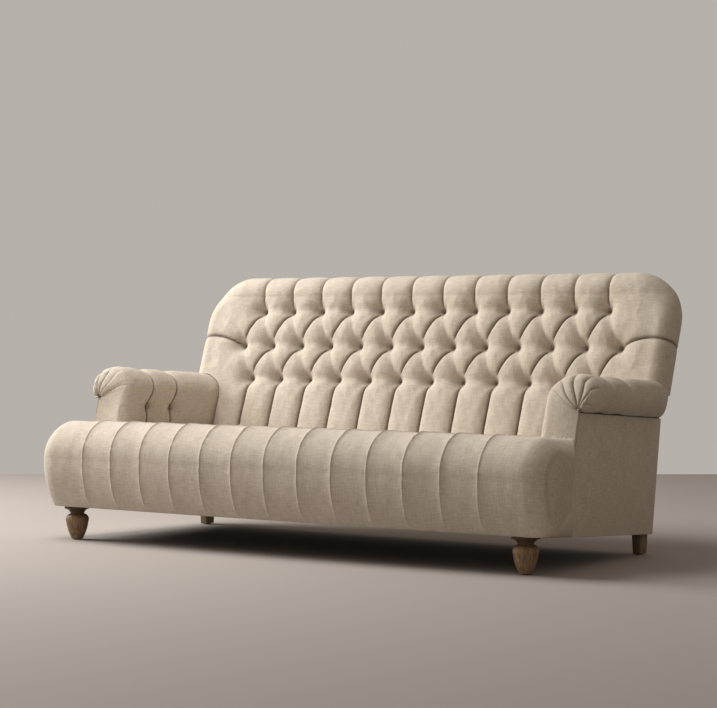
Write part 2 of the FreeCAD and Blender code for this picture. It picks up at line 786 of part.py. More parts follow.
upright_points = ((frame_front(low_rail_high), low_rail_high),
                  (frame_front(low_rail_high) + board_thickness, low_rail_high),
                  (frame_front(post_top) + board_thickness, post_top),
                  (frame_front(post_top), post_top))
uprights = [board_yz(upright_points, x - upright_width / 2, x + upright_width / 2) for x in upright_places]
parts["back_uprights"] = lean(Part.makeCompound(uprights))


# Suspension and core: webbing under the seat core, webbing and hessian behind the back

web_front = front_rail_face + edge_round
web_rear = rear_y(rail_height) - back_panel_thickness - edge_round
web_bed = rail_height
cross_reach = post_inside - edge_round
long_web_spacing = 2 * (cross_reach - web_side_margin) / (long_web_count - 1)
long_webs = []
for place in range(long_web_count):
    x = (place - (long_web_count - 1) / 2) * long_web_spacing
    long_webs.append(block(x - web_width / 2, x + web_width / 2, web_front, web_rear,
                           web_bed + web_thickness, web_bed + 2 * web_thickness))
parts["seat_webbing_lengthwise"] = lean(Part.makeCompound(long_webs))
cross_webs = []
for place in range(cross_web_count):
    y = cross_start + place * cross_web_spacing
    cross_webs.append(block(-cross_reach, cross_reach, y, y + web_width, web_bed, web_bed + web_thickness))
parts["seat_webbing_crosswise"] = lean(Part.makeCompound(cross_webs))

core_low = web_bed + 2 * web_thickness + seat_gap
core = block(-cross_reach + edge_round, cross_reach - edge_round, rail_back + edge_round, seat_rear - edge_round,
             core_low, cavity_top - seat_gap)
core = core.cut(both_sides(front_post))
parts["seat_core"] = lean(core)


def behind_pad(low, high, inner, outer):
    """Side view strip that lies on the front of the back frame."""
    points = [(frame_front(low) - outer, low), (frame_front(low) - inner, low)]
    if low < rear_bend_height < high:
        points.append((frame_front(rear_bend_height) - inner, rear_bend_height))
    points.extend([(frame_front(high) - inner, high), (frame_front(high) - outer, high)])
    if low < rear_bend_height < high:
        points.append((frame_front(rear_bend_height) - outer, rear_bend_height))
    return points


web_high = post_top - fit_gap
back_web_strip = behind_pad(low_rail_low, web_high, 0, web_thickness)
supports = [-post_inside, *upright_places, post_inside]
back_webs = []
for left, right in zip(supports, supports[1:]):
    for share in web_bay_shares:
        x = left + (right - left) * share
        back_webs.append(board_yz(back_web_strip, x - web_width / 2, x + web_width / 2))
parts["back_webbing"] = lean(Part.makeCompound(back_webs))
hessian_strip = behind_pad(low_rail_low, web_high, web_thickness, 2 * web_thickness)
parts["back_hessian"] = lean(board_yz(hessian_strip, -cross_reach, cross_reach))

core_face = back_pad_inner + seat_gap
core_rear = 2 * web_thickness + seat_gap
back_core_outline = ((button_y(low_rail_low) + core_face, low_rail_low),
                     (frame_front(low_rail_low) - core_rear, low_rail_low),
                     (frame_front(rear_bend_height) - core_rear, rear_bend_height),
                     (frame_front(web_high) - core_rear, web_high),
                     (button_y(web_high) + core_face, web_high))
back_core_half = arm_inside - edge_round
parts["back_core"] = lean(board_yz(back_core_outline, -back_core_half, back_core_half))


# Covered buttons, pulled into the back's pits

row_names = ("lower", "middle", "upper")
row_heights = (lower_row, middle_row, upper_row)
for name, height, count in zip(row_names, row_heights, (button_columns, button_columns + 1, button_columns)):
    buttons = []
    for place in range(count):
        x = (place - (count - 1) / 2) * button_pitch
        buttons.append(button(x, button_y(height) - fit_gap - seat_gap, height, Vector(0, -1, rake)))
    parts["back_buttons_" + name + "_row"] = lean(Part.makeCompound(buttons))


# Legs: turned oak vases at the front, square tapers behind, each on a bolt and a glide

def underside_cutter():
    """Everything over the body's underside, leaning with it."""
    reach = 2 * seat_half_width
    return lean(block(-reach, reach, -reach, reach, -dust_cover_thickness, reach))


leg_reach = underside_height + overrun


def turned_leg():
    """Turned vase: flared collar, neck, bulb and tapering foot."""
    collar = Vector(collar_radius, 0, front_leg_height - neck_drop / 5)
    neck = Vector(neck_radius, 0, front_leg_height - neck_drop)
    bulb = Vector(bulb_radius, 0, front_leg_height - bulb_drop)
    foot = Vector(foot_radius, 0, glide_height)
    flare = bulge(collar, neck, flare_share * neck.sub(collar).Length, Vector(-1, 0, -1))
    shoulder = bulge(neck, bulb, shoulder_share * bulb.sub(neck).Length, Vector(1, 0, 1))
    taper = bulge(bulb, foot, taper_share * foot.sub(bulb).Length, X_AXIS)
    rings = [(front_leg_height + overrun / 4, collar_radius)]
    for curve, cuts in ((flare, flare_cuts), (shoulder, shoulder_cuts), (taper, taper_cuts)):
        rings.extend((point.z, point.x) for point in curve.discretize(Number=cuts + 1)[:cuts])
    rings.append((glide_height, foot_radius))
    return turned(Vector(front_leg_x, front_leg_y, 0), Z_AXIS, rings[::-1], leg_sides)


def square_leg():
    wires = []
    for width, depth, z in ((rear_leg_foot_width, rear_leg_foot_depth, glide_height),
                            (rear_leg_top_width, rear_leg_top_depth, underside_height)):
        corners = [Vector(rear_leg_x + a * width / 2, rear_leg_y + b * depth / 2, z)
                   for a, b in ((-1, -1), (1, -1), (1, 1), (-1, 1))]
        wires.append(Part.makePolygon(corners + corners[:1]))
    return Part.makeLoft(wires, True, True)


bolt_bore = bolt_radius + fit_gap
bolts = []
bores = []
for x, y, top in ((front_leg_x, front_leg_y, front_leg_height), (rear_leg_x, rear_leg_y, underside_height)):
    foot = Vector(x, y, top - bolt_bury)
    bolts.append(turned(foot, Z_AXIS, ((0, bolt_radius), (bolt_rise, bolt_radius))))
    bores.append(turned(foot, Z_AXIS, ((-seat_gap, bolt_bore), (bolt_rise + seat_gap, bolt_bore))))
over_floor = underside_cutter()
front_leg = turned_leg().cut(over_floor).cut(bores[0])
rear_leg = square_leg().cut(over_floor).cut(bores[1])
parts["front_leg_right"] = front_leg
parts["front_leg_left"] = mirrored(front_leg)
parts["rear_leg_right"] = rear_leg
parts["rear_leg_left"] = mirrored(rear_leg)
parts["leg_bolts"] = Part.makeCompound([both_sides(bolt) for bolt in bolts])
glides = []
for x, y in ((front_leg_x, front_leg_y), (rear_leg_x, rear_leg_y)):
    pad = turned(Vector(x, y, 0), Z_AXIS, ((0, glide_radius), (glide_height, glide_radius)))
    glides.append(both_sides(pad))
parts["floor_glides"] = Part.makeCompound(glides)

for name in ("back_post_right", "back_post_left", "front_rail"):
    for bore in bores:
        parts[name] = parts[name].cut(both_sides(bore))
corner_blocks = lean(both_sides(front_block)).cut(both_sides(bores[0]))
corner_blocks = Part.makeCompound(corner_blocks.Solids + lean(both_sides(rear_block)).Solids)
parts["corner_blocks"] = corner_blocks

cover_front = front_rail_face + dust_margin
cover_rear = rear_foot - back_panel_thickness - dust_margin
dust_cover = board_xy(((-panel_x(cover_front) + dust_margin, cover_front),
                       (panel_x(cover_front) - dust_margin, cover_front),
                       (panel_x(cover_rear) - dust_margin, cover_rear),
                       (-panel_x(cover_rear) + dust_margin, cover_rear)), -dust_cover_thickness, 0)
dust_cover = lean(dust_cover)
for bore in bores:
    dust_cover = dust_cover.cut(both_sides(bore))
parts["dust_cover"] = dust_cover
parts["arm_buttons_right"] = lean(arm_button_pair)
parts["arm_buttons_left"] = lean(mirrored(arm_button_pair))


# The origin is under the middle of the whole, on the floor

front_face = parts["seat_upholstery"].optimalBoundingBox(False, False).YMin
rear_face = parts["back_upholstery"].optimalBoundingBox(False, False).YMax
centre_shift = Vector(0, -(front_face + rear_face) / 2, 0)
os.makedirs("parts", exist_ok=True)
for name, shape in parts.items():
    shape.translate(centre_shift)
    shape.exportStep("parts/" + name + ".step")
    print(name, len(shape.Solids), "solids", "valid" if shape.isValid() else "NOT VALID")
print("centre shift", round(centre_shift.y, 2))
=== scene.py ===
import json
import math
import bmesh
import bpy
import numpy as np
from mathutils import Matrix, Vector


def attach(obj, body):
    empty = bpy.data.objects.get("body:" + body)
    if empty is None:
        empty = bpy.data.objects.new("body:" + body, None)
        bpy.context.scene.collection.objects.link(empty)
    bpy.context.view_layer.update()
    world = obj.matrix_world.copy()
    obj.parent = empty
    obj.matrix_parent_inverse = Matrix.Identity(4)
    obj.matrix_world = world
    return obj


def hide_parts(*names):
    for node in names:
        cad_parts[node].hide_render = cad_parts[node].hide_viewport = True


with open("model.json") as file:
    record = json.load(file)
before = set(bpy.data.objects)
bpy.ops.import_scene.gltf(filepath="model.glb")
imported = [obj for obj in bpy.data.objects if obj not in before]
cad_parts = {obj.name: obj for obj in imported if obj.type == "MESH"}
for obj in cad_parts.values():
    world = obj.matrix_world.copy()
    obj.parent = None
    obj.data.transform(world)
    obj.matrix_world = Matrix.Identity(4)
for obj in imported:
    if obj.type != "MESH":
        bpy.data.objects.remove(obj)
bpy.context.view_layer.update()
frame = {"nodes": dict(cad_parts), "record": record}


# View, floor and light
# The sofa stands on a plain pale floor in soft studio light that comes from the upper left. It is seen
# from its front right, a little under the height of the back's top.


def stand(name, data):
    """Adds a camera, a lamp or a mesh to the scene as an object."""
    thing = bpy.data.objects.new(name, data)
    bpy.context.scene.collection.objects.link(thing)
    return thing


def add_node(tree, kind, inputs, **settings):
    """New node in a tree, with its settings, and with a link or a value on each input that is named."""
    node = tree.nodes.new(kind)
    for name, value in settings.items():
        setattr(node, name, value)
    for name, value in inputs.items():
        if isinstance(value, bpy.types.NodeSocket):
            tree.links.new(value, node.inputs[name])
        else:
            node.inputs[name].default_value = value
    return node


def shaded(name, roughness):
    """New material, with its node tree and its shader."""
    finish = bpy.data.materials.new(name)
    finish.use_nodes = True
    shader = finish.node_tree.nodes["Principled BSDF"]
    shader.inputs["Roughness"].default_value = roughness
    return finish, finish.node_tree, shader


def flat_vector(turn):
    """Level way into the picture, turned about the upright."""
    return Vector((-math.sin(turn), math.cos(turn), 0))


view_turn, view_drop = math.radians(35.836), math.radians(0.799)
camera = stand("camera", bpy.data.cameras.new("camera"))
camera.data.lens = 108.958
camera.data.sensor_width = 36.0
camera.data.clip_end = 200.0
camera.location = (4.33662, -6.01822, 0.75636)
looking = flat_vector(view_turn) * math.cos(view_drop) - Vector((0, 0, math.sin(view_drop)))
camera.rotation_euler = looking.to_track_quat("-Z", "Y").to_euler()
bpy.context.scene.camera = camera
bpy.context.scene.view_settings.view_transform = "Standard"

wall_distance = 10.9
floor_behind = 4.0
floor_half_width = 14.0
ahead, aside = flat_vector(view_turn), flat_vector(view_turn - math.pi / 2)
eye = Vector((camera.location.x, camera.location.y, 0))
far, near = eye + ahead * wall_distance, eye - ahead * floor_behind
floor_mesh = bpy.data.meshes.new("studio_floor")
floor_mesh.from_pydata([near - aside * floor_half_width, near + aside * floor_half_width,
                        far + aside * floor_half_width, far - aside * floor_half_width], [], [(0, 1, 2, 3)])
studio_floor = stand("studio_floor", floor_mesh)
floor_paint, _, floor_shader = shaded("pale_floor", 0.75)
floor_shader.inputs["Base Color"].default_value = (0.40, 0.36, 0.335, 1)
floor_mesh.materials.append(floor_paint)

studio = bpy.data.worlds.new("studio")
studio.use_nodes = True
sky = studio.node_tree
room_light = sky.nodes["Background"]
room_light.inputs["Color"].default_value = (1.0, 0.86, 0.74, 1)
room_light.inputs["Strength"].default_value = 0.30
backdrop = add_node(sky, "ShaderNodeBackground", {"Color": (0.47, 0.435, 0.405, 1)})
seen = add_node(sky, "ShaderNodeLightPath", {})
either = add_node(sky, "ShaderNodeMixShader", {"Fac": seen.outputs["Is Camera Ray"],
                                               1: room_light.outputs["Background"],
                                               2: backdrop.outputs["Background"]})
sky.links.new(either.outputs["Shader"], sky.nodes["World Output"].inputs["Surface"])
bpy.context.scene.world = studio

lamp_light = (1.0, 0.985, 0.96)
lamp_aim = Vector((0, 0, 0.45))
for name, place, size, power in (("key_lamp", (-4.5, -1.1, 2.5), 2.3, 232.0),
                                 ("top_lamp", (-1.6, -0.8, 3.9), 2.2, 102.0)):
    lamp = bpy.data.lights.new(name, "AREA")
    lamp.size = size
    lamp.energy = power
    lamp.color = lamp_light
    lamp_object = stand(name, lamp)
    lamp_object.location = place
    lamp_object.rotation_euler = (lamp_aim - Vector(place)).to_track_quat("-Z", "Y").to_euler()


# Seat cover
# One linen-covered pad over springs and foam, sewn in twelve channels that run from the back over the
# rolled front edge and are tacked under the frame. The ends are plain and rounded, like bolsters, with a
# seam down each front corner.

body_tilt = math.radians(3.8)
body_lift = 87.1
body_shift = -13.27


def leaned(points):
    """Body millimetres, drawn level, as room metres: the whole body leans back over the floor."""
    points = np.asarray(points, float)
    x, y, z = points[..., 0], points[..., 1], points[..., 2]
    turned_y = y * math.cos(body_tilt) + z * math.sin(body_tilt) + body_shift
    turned_z = z * math.cos(body_tilt) - y * math.sin(body_tilt) + body_lift
    return np.stack([x, turned_y, turned_z], axis=-1) / 1000


def ripple(a, b, wave, seed):
    """Smooth unevenness of cloth between -1 and 1, over two directions, for waves of about one length."""
    chance = np.random.default_rng(seed)
    total = np.zeros(np.broadcast(a, b).shape)
    for turn, start, stretch in zip(chance.uniform(0, math.pi, 9), chance.uniform(0, 2 * math.pi, 9),
                                    chance.uniform(0.7, 1.5, 9)):
        total += np.cos((a * math.cos(turn) + b * math.sin(turn)) * 2 * math.pi * stretch / wave + start)
    return total / 4.5


def arc_points(start, end, rise, away, count):
    """Points along a shallow arc between two points, without its last, standing proud by rise."""
    start, end, away = np.asarray(start, float), np.asarray(end, float), np.asarray(away, float)
    chord = end - start
    half = np.linalg.norm(chord) / 2
    along = chord / (2 * half)
    side = away - along * away.dot(along)
    side /= np.linalg.norm(side)
    radius = (half ** 2 + rise ** 2) / (2 * rise)
    swing = math.asin(min(1.0, half / radius))
    turns = np.linspace(-swing, swing, count + 1)[:-1]
    out = radius * np.cos(turns) - (radius - rise)
    return (start + end) / 2 + np.outer(radius * np.sin(turns), along) + np.outer(out, side)


def bell(away, width):
    """Falls smoothly from 1 at a line to nearly nothing two widths away from it."""
    return np.exp(-(away / width) ** 2)


def eased(value, start, end):
    """Rises smoothly from 0 at start to 1 at end."""
    share = np.clip((value - start) / (end - start), 0, 1)
    return share * share * (3 - 2 * share)


def off_nearest(x, spacing, first):
    """Distance to the nearest of evenly spaced lines, of which one is at first."""
    turns = (x - first) / spacing
    return np.abs(turns - np.round(turns)) * spacing


def crosswise(first, second):
    """Unit vectors square to two grids of directions."""
    square = np.cross(first, second)
    return square / np.maximum(np.linalg.norm(square, axis=-1, keepdims=True), 1e-9)


def running(points):
    """Distance along a row of points from its first, in millimetres."""
    return np.concatenate([[0], np.cumsum(np.linalg.norm(np.diff(points, axis=0), axis=-1))])


def cloth_run(rings):
    """Distance round each ring from its first point, in millimetres."""
    return np.array([running(ring) for ring in rings])


def cloth_places(across, along):
    """Places on the cloth in metres, from two distances in millimetres."""
    return np.stack(np.broadcast_arrays(across, along), axis=-1) / 1000


def face_cloth(normal, spot):
    """Cloth place of a point on a flat face: the two coordinates that run along the face."""
    wide = max(range(3), key=lambda axis: abs(normal[axis]))
    return spot[1 if wide == 0 else 0], spot[1 if wide == 2 else 2]


def corner_points(mesh):
    """Number of the point at each corner of each face."""
    corner = np.zeros(len(mesh.loops), int)
    mesh.loops.foreach_get("vertex_index", corner)
    return corner


def smoothed(work, crease):
    """Shades all faces smooth, but for the edges that turn by more than the crease, in degrees."""
    for face in work.faces:
        face.smooth = True
    for edge in work.edges:
        edge.smooth = len(edge.link_faces) == 2 and edge.calc_face_angle(0) < math.radians(crease)


def closed_shell(mesh, crease):
    """Merges the doubles of a mesh, turns its faces outwards and shades it smooth."""
    work = bmesh.new()
    work.from_mesh(mesh)
    bmesh.ops.remove_doubles(work, verts=work.verts, dist=0.00002)
    bmesh.ops.dissolve_degenerate(work, edges=work.edges, dist=0.000005)
    bmesh.ops.recalc_face_normals(work, faces=work.faces)
    smoothed(work, crease)
    work.to_mesh(mesh)
    work.free()


def skin(name, rings, cloth, painted_shades, staggered=()):
    """Closed smooth cover through rings of body points, with cloth places in metres as its UV map, and
    painted shade from 0 to 1 as an attribute, which darkens the linen where each point lies in a fold, crease
    or pit.
    staggered numbers the rings that lie half a step along, so that slanting pleats follow the faces."""
    count, places = rings.shape[:2]
    faces = []
    for ring in range(count - 1):
        low, high = ring * places, (ring + 1) * places
        for place in range(places):
            after = (place + 1) % places
            a, b, c, d = low + place, low + after, high + after, high + place
            if ring + 1 in staggered:
                faces += [(a, b, d), (b, c, d)]
            elif ring in staggered:
                faces += [(a, b, c), (a, c, d)]
            else:
                faces.append((a, b, c, d))
    faces += [tuple(range(places))[::-1], tuple(range((count - 1) * places, count * places))]
    mesh = bpy.data.meshes.new(name)
    mesh.from_pydata(leaned(rings).reshape(-1, 3).tolist(), [], faces)
    layer = mesh.uv_layers.new(name="cloth")
    layer.data.foreach_set("uv", cloth.reshape(-1, 2)[corner_points(mesh)].astype(np.float32).ravel())
    for cap in mesh.polygons[-2:]:
        for place in cap.loop_indices:
            layer.data[place].uv = face_cloth(cap.normal, mesh.vertices[mesh.loops[place].vertex_index].co)
    shade_layer = mesh.attributes.new("painted_shade", "FLOAT", "POINT")
    shade_layer.data.foreach_set("value", np.clip(painted_shades, 0, 1).astype(np.float32).ravel())
    closed_shell(mesh, 75)
    return stand(name, mesh)


seam_pitch = 134.7
channels = 12
last_seam = channels / 2 * seam_pitch
seat_top = 300.0
seat_rear = 285.0
seat_half = 1044.0
seat_front, nose_front, top_front = -480.0, -535.0, -435.0
front_bow = 20.0
nose_height = 165.0
rail_face, rail_top = -430.5, 225.0
corner_radius = 90.0
end_fall = 100.0
tuck_width, tuck_rise = 64.0, 84.0
wing_rear = -270.0
wing_start = 866.0
panel_line = 988.0
shoulder_start = 998.0
shoulder_sweep = 88.0
under_bulge, over_bulge = 0.086, 0.2
under_count, over_count, deck_count = 22, 34, 61

# Each station holds its place along the sofa, how far its front is set in, how far its top falls, how far
# its foot rises and where its rear edge lies.
one_channel = np.array([0, 0.006, 0.014, 0.026, 0.045, 0.075, 0.12, 0.18, 0.25, 0.33, 0.42, 0.5])
one_channel = np.concatenate([one_channel, 1 - one_channel[-2:0:-1]])
deck_station, wing_station = (0.0, 0.0, 0.0, seat_rear), (0.0, 0.0, 0.0, wing_rear)
stations = [(-last_seam + (k + share) * seam_pitch, *deck_station) for k in range(channels)
            for share in one_channel]
end_places = last_seam + np.array([0, 0.8, 1.9, 3.5, 6, 10, 16, 24, 34, 45, 57.5])
wing_places = np.linspace(wing_start + 12, seat_half - corner_radius, 8, endpoint=False)
end_stations = [(x, *deck_station) for x in (*end_places, wing_start)]
end_stations += [(x, *wing_station) for x in (wing_start + 2, *wing_places)]
for turn in np.radians(np.linspace(0, 90, 26)):
    x = seat_half - corner_radius * (1 - math.sin(turn))
    pull = 1 - math.cos(turn)
    tuck = max(0.0, (x - seat_half + tuck_width) / tuck_width)
    rise = tuck_rise * (1 - math.sqrt(max(0.0, 1 - tuck ** 2)))
    swing = min(1.0, max(0.0, (x - shoulder_start) / (seat_half - shoulder_start)))
    rear = wing_rear - shoulder_sweep * (0.5 - math.sin(math.asin(1 - 2 * swing) / 3))
    end_stations.append((x, corner_radius * pull, end_fall * pull, rise, rear))
stations = [(-x, *rest) for x, *rest in end_stations[::-1]] + stations[1:] + end_stations

rings = []
for x, inset, drop, rise, rear in stations:
    bow = front_bow * min(1, abs(x) / last_seam) ** 2
    foot = (bow + inset + seat_front, rise)
    nose = (bow + inset + nose_front, nose_height)
    edge = (bow + 0.6 * inset + top_front, seat_top - drop)
    lower = arc_points(foot, nose, under_bulge * math.dist(foot, nose), (-1, 0), under_count)
    upper = arc_points(nose, edge, over_bulge * math.dist(nose, edge), (-1, 1), over_count)
    deck = np.stack([np.linspace(edge[0], rear, deck_count), np.full(deck_count, edge[1])], axis=-1)
    if abs(x) < panel_line:
        inner = [(rear, rail_top), (rail_face, rail_top), (rail_face, 0)]
    else:
        inner = [(rear * share + foot[0] * (1 - share), rise) for share in (1, 0.6, 0.2)]
    outline = np.concatenate([lower, upper, deck, np.array(inner, float)])
    rings.append(np.column_stack([np.full(len(outline), x), outline]))
rings = np.array(rings)

seam_depth, stitch_depth, stitch_width = 3.6, 1.3, 3.4
edge_depth, edge_stitch, edge_reach, end_crown = 2.6, 0.7, 62.0, 60.0
corner_seam_turn, corner_seam_width, corner_seam_depth = math.radians(52), 4.0, 2.2
nose_place = under_count + over_count - 3
x = rings[:, :, 0]
run = cloth_run(rings)
middle_run = run[len(rings) // 2]
nose_run = middle_run[nose_place]
near_seam = off_nearest(x, seam_pitch, -last_seam)
beyond = np.abs(x) > last_seam
near_seam = np.where(beyond, np.abs(x) - last_seam, near_seam)
crown = np.where(beyond, np.clip(1 - near_seam / end_crown, 0, 1) ** 2, (1 - 2 * near_seam / seam_pitch) ** 3)
over_edge = bell(run - nose_run, edge_reach)
depth = (seam_depth + edge_depth * over_edge) * crown
depth += (stitch_depth + edge_stitch * over_edge) * bell(near_seam, stitch_width)
depth += ripple(run, x * 0.2, 30, 3) * bell(near_seam, 12)
under_arms = eased(np.abs(x), 820, 862) * eased(run, nose_run + 20, nose_run + 90)
depth += (1.2 * ripple(x, run, 260, 4) + 0.7 * ripple(x * 1.6, run * 0.6, 90, 5)) * (1 - 0.95 * under_arms)
turned = np.arcsin(np.clip((np.abs(x) - seat_half + corner_radius) / corner_radius, 0, 1))
corner_seam = bell(corner_radius * (turned - corner_seam_turn), corner_seam_width)
corner_seam = corner_seam * eased(run, 10, 60) * (1 - eased(run, nose_run - 90, nose_run - 20))
depth += corner_seam_depth * corner_seam
place = np.arange(rings.shape[1])
shown = under_count + over_count + deck_count - 3
fade = np.clip(place / 5, 0, 1) * np.clip((shown - place) / 4, 0, 1)
fade = fade[None, :] * np.clip((seat_half - np.abs(x)) / 40, 0, 1)
around = np.roll(rings, -1, axis=1) - np.roll(rings, 1, axis=1)
rings = rings - crosswise(around, np.gradient(rings, axis=0)) * (depth * fade)[..., None]

cloth = cloth_places(running(rings[:, under_count])[:, None], middle_run)
# Painted shade, as an attribute on the cover: the linen is darkened along each seam, less so low on the
# front, over the rounded ends and along the corner seams.
uneven_seam_shade = 0.62 + 0.38 * ripple(run, x * 0.05, 46, 6)
under_nose = 1 - 0.55 * eased(nose_run - run, 60, 320)
seam_shade, end_shade_share, corner_shade = 0.52, 0.2, 0.24
seat_painted_shades = seam_shade * uneven_seam_shade * bell(near_seam, 2.8) * fade * under_nose
end_shade = end_shade_share * eased(turned, math.radians(22), math.radians(70))
end_shade = end_shade * (1 - eased(run, nose_run - 90, nose_run + 30))
seat_painted_shades = np.maximum(seat_painted_shades, end_shade + corner_shade * corner_seam)
seat_cover = skin("seat_cover", rings, cloth, seat_painted_shades)


def make_weave():
    """Linen weave and slubs from cloth metres: a brightness, a height for the bump, and the painted shade of
    the folds, read from the mesh's attribute.
    """
    group = bpy.data.node_groups.new("linen_weave", "ShaderNodeTree")
    for name, default in (("Slub Scale", 1.0), ("Slub Strength", 0.55), ("Thread Pitch", 0.0011)):
        socket = group.interface.new_socket(name, in_out="INPUT", socket_type="NodeSocketFloat")
        socket.default_value = default
    for name in ("Brightness", "Height", "Painted Shade"):
        group.interface.new_socket(name, in_out="OUTPUT", socket_type="NodeSocketFloat")
    given = add_node(group, "NodeGroupInput", {})
    cloth = add_node(group, "ShaderNodeUVMap", {}, uv_map="cloth").outputs["UV"]

    def sums(kind, *values):
        return add_node(group, "ShaderNodeMath", dict(enumerate(values)), operation=kind).outputs[0]

    def threads(stretch, scale, detail):
        mapping = add_node(group, "ShaderNodeMapping", {"Scale": stretch, "Vector": cloth})
        scale = sums("MULTIPLY", given.outputs["Slub Scale"], scale)
        noise = add_node(group, "ShaderNodeTexNoise", {"Detail": detail, "Roughness": 0.55,
                                                       "Vector": mapping.outputs[0], "Scale": scale})
        return noise.outputs["Fac"]

    def strands(axis):
        part = add_node(group, "ShaderNodeSeparateXYZ", {0: cloth})
        turns = sums("DIVIDE", part.outputs[axis], given.outputs["Thread Pitch"])
        return sums("MULTIPLY", sums("SINE", sums("MULTIPLY", turns, 2 * math.pi)), 0.5)

    warp = threads((26.0, 3.0, 1.0), 9.0, 4.0)
    weft = threads((3.0, 26.0, 1.0), 9.0, 4.0)
    patches = threads((1.0, 1.0, 1.0), 9.0, 3.0)
    slub = sums("SUBTRACT", sums("ADD", warp, weft), 1.0)
    tone = sums("ADD", sums("MULTIPLY", slub, given.outputs["Slub Strength"]),
                sums("MULTIPLY", sums("SUBTRACT", patches, 0.5), 0.22))
    cross = sums("MULTIPLY", strands(0), strands(1))
    shade_layer = add_node(group, "ShaderNodeAttribute", {}, attribute_name="painted_shade")
    add_node(group, "NodeGroupOutput", {"Brightness": sums("ADD", tone, 1.0),
                                        "Height": sums("ADD", sums("MULTIPLY", cross, 0.5), slub),
                                        "Painted Shade": shade_layer.outputs["Fac"]})
    return group


linen_weave = make_weave()


def multiplied(tree, share, first, second):
    """Colour of the first darkened by the second, by a share from 0 to 1."""
    mix = add_node(tree, "ShaderNodeMix", {"Factor": share, "A": first, "B": second},
                   data_type="RGBA", blend_type="MULTIPLY")
    return mix.outputs["Result"]


def bumped(tree, shader, height, strength, distance):
    """Lets a height raise the surface of a material."""
    bump = add_node(tree, "ShaderNodeBump", {"Strength": strength, "Distance": distance, "Height": height})
    tree.links.new(bump.outputs["Normal"], shader.inputs["Normal"])


def linen(name, colour, shade_colour=(0.20, 0.155, 0.115)):
    """Oatmeal linen: slubs and weave over a pale ground, darkened towards a shade colour as painted shade
    where the mesh's attribute marks a fold, crease or pit, with a faint sheen of fibre ends."""
    cloth, tree, shader = shaded(name, 0.92)
    shader.inputs["Specular IOR Level"].default_value = 0.22
    shader.inputs["Sheen Weight"].default_value = 0.12
    shader.inputs["Sheen Roughness"].default_value = 0.5
    weave = add_node(tree, "ShaderNodeGroup", {}, node_tree=linen_weave)
    bright = weave.outputs["Brightness"]
    grey = add_node(tree, "ShaderNodeCombineColor", {"Red": bright, "Green": bright, "Blue": bright})
    woven = multiplied(tree, 1.0, (*colour, 1), grey.outputs["Color"])
    # Painted shade: the colour is multiplied towards the dark shade colour by the mesh's fold attribute.
    shadowed = multiplied(tree, weave.outputs["Painted Shade"], woven, (*shade_colour, 1))
    tree.links.new(shadowed, shader.inputs["Base Color"])
    bumped(tree, shader, weave.outputs["Height"], 0.35, 0.0012)
    return cloth


oatmeal = linen("oatmeal_linen", (0.585, 0.52, 0.435))
seat_cover.data.materials.append(oatmeal)
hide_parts("seat_upholstery")
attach(seat_cover, "root")


# Back cover
# A thick raked pad of hair and foam, deep buttoned: three staggered rows of buttons pull the linen into
# folded pleats. Channels run down to the seat, pleats run up over the top roll, the ends are plain.

pitch = 134.0
columns = 12
lower_row, middle_row, upper_row = 494.0, 618.5, 747.0
outer_places = [(k - (columns - 1) / 2) * pitch for k in range(columns)]
staggered_places = [(k - columns / 2) * pitch for k in range(columns + 1)]
# Each row of buttons has its height, its places along the sofa and how far it draws the linen in.
button_rows = {"lower": (lower_row, outer_places, 14), "middle": (middle_row, staggered_places, 13),
               "upper": (upper_row, outer_places, 14)}
rake = math.tan(math.radians(14.1))
plane_foot = 267.7
crown_depth = 45.0
roll_radius, roll_height = 75.0, 797.0
back_half, back_corner = 996.0, 180.0
back_top = roll_height + roll_radius
corner_x, corner_z = back_half - back_corner, back_top - back_corner
rear_foot, rear_bend, bend_height = 331.7, 370.4, 383.0
front_edge, side_round, side_turn_in = 16.0, 55.0, 72.0
panel_top, pad_inner = 770.0, 10.0
opening_half, opening_round, opening_top = 939.5, 122.0, 825.0
pit_depth, pit_width = 48.0, 30.0
pleat_depth, pleat_width = 25.0, 52.0
slit_depth, slit_width = 12.0, 3.8
valley_width, crease_depth, crease_width = 23.0, 2.5, 4.5
low_depth, top_depth, line_width = 41.0, 35.0, 66.0
blend, deepest_dent = 3.0, 50.0
end_pleat_run, end_pleat_full, end_pleat_bow = 300.0, 24.0, 30.0


def button_y(z):
    """Where the raked plane of the buttons stands at a height."""
    return plane_foot + (z - seat_top) * rake


roll_y = button_y(roll_height) - crown_depth + roll_radius


def rear_y(z):
    """Rear line of the back over its bend, straight up to the deepest place of the top roll."""
    climb = (min(z, roll_height) - bend_height) / (roll_height - bend_height)
    return rear_bend + (roll_y + roll_radius - rear_bend) * climb


def pleat(away, half_width, fullness=2.0):
    """Dent from 0 to 1 between two round stuffed pads: steep at the pleat, level at the crowns."""
    share = np.clip(away / half_width, 0, 1)
    return 1 - np.clip(1 - (1 - share) ** fullness, 0, 1) ** (1 / fullness)


def off_line(x, z, start, end):
    """Distance from a stretch of a line, and how far along it, from 0 to 1."""
    run = (end[0] - start[0], end[1] - start[1])
    length = math.hypot(*run)
    along = ((x - start[0]) * run[0] + (z - start[1]) * run[1]) / length ** 2
    off = (x - start[0]) * run[1] - (z - start[1]) * run[0]
    past = np.clip(np.abs(along - 0.5) - 0.5, 0, None) * length
    return np.hypot(off / length, past), along


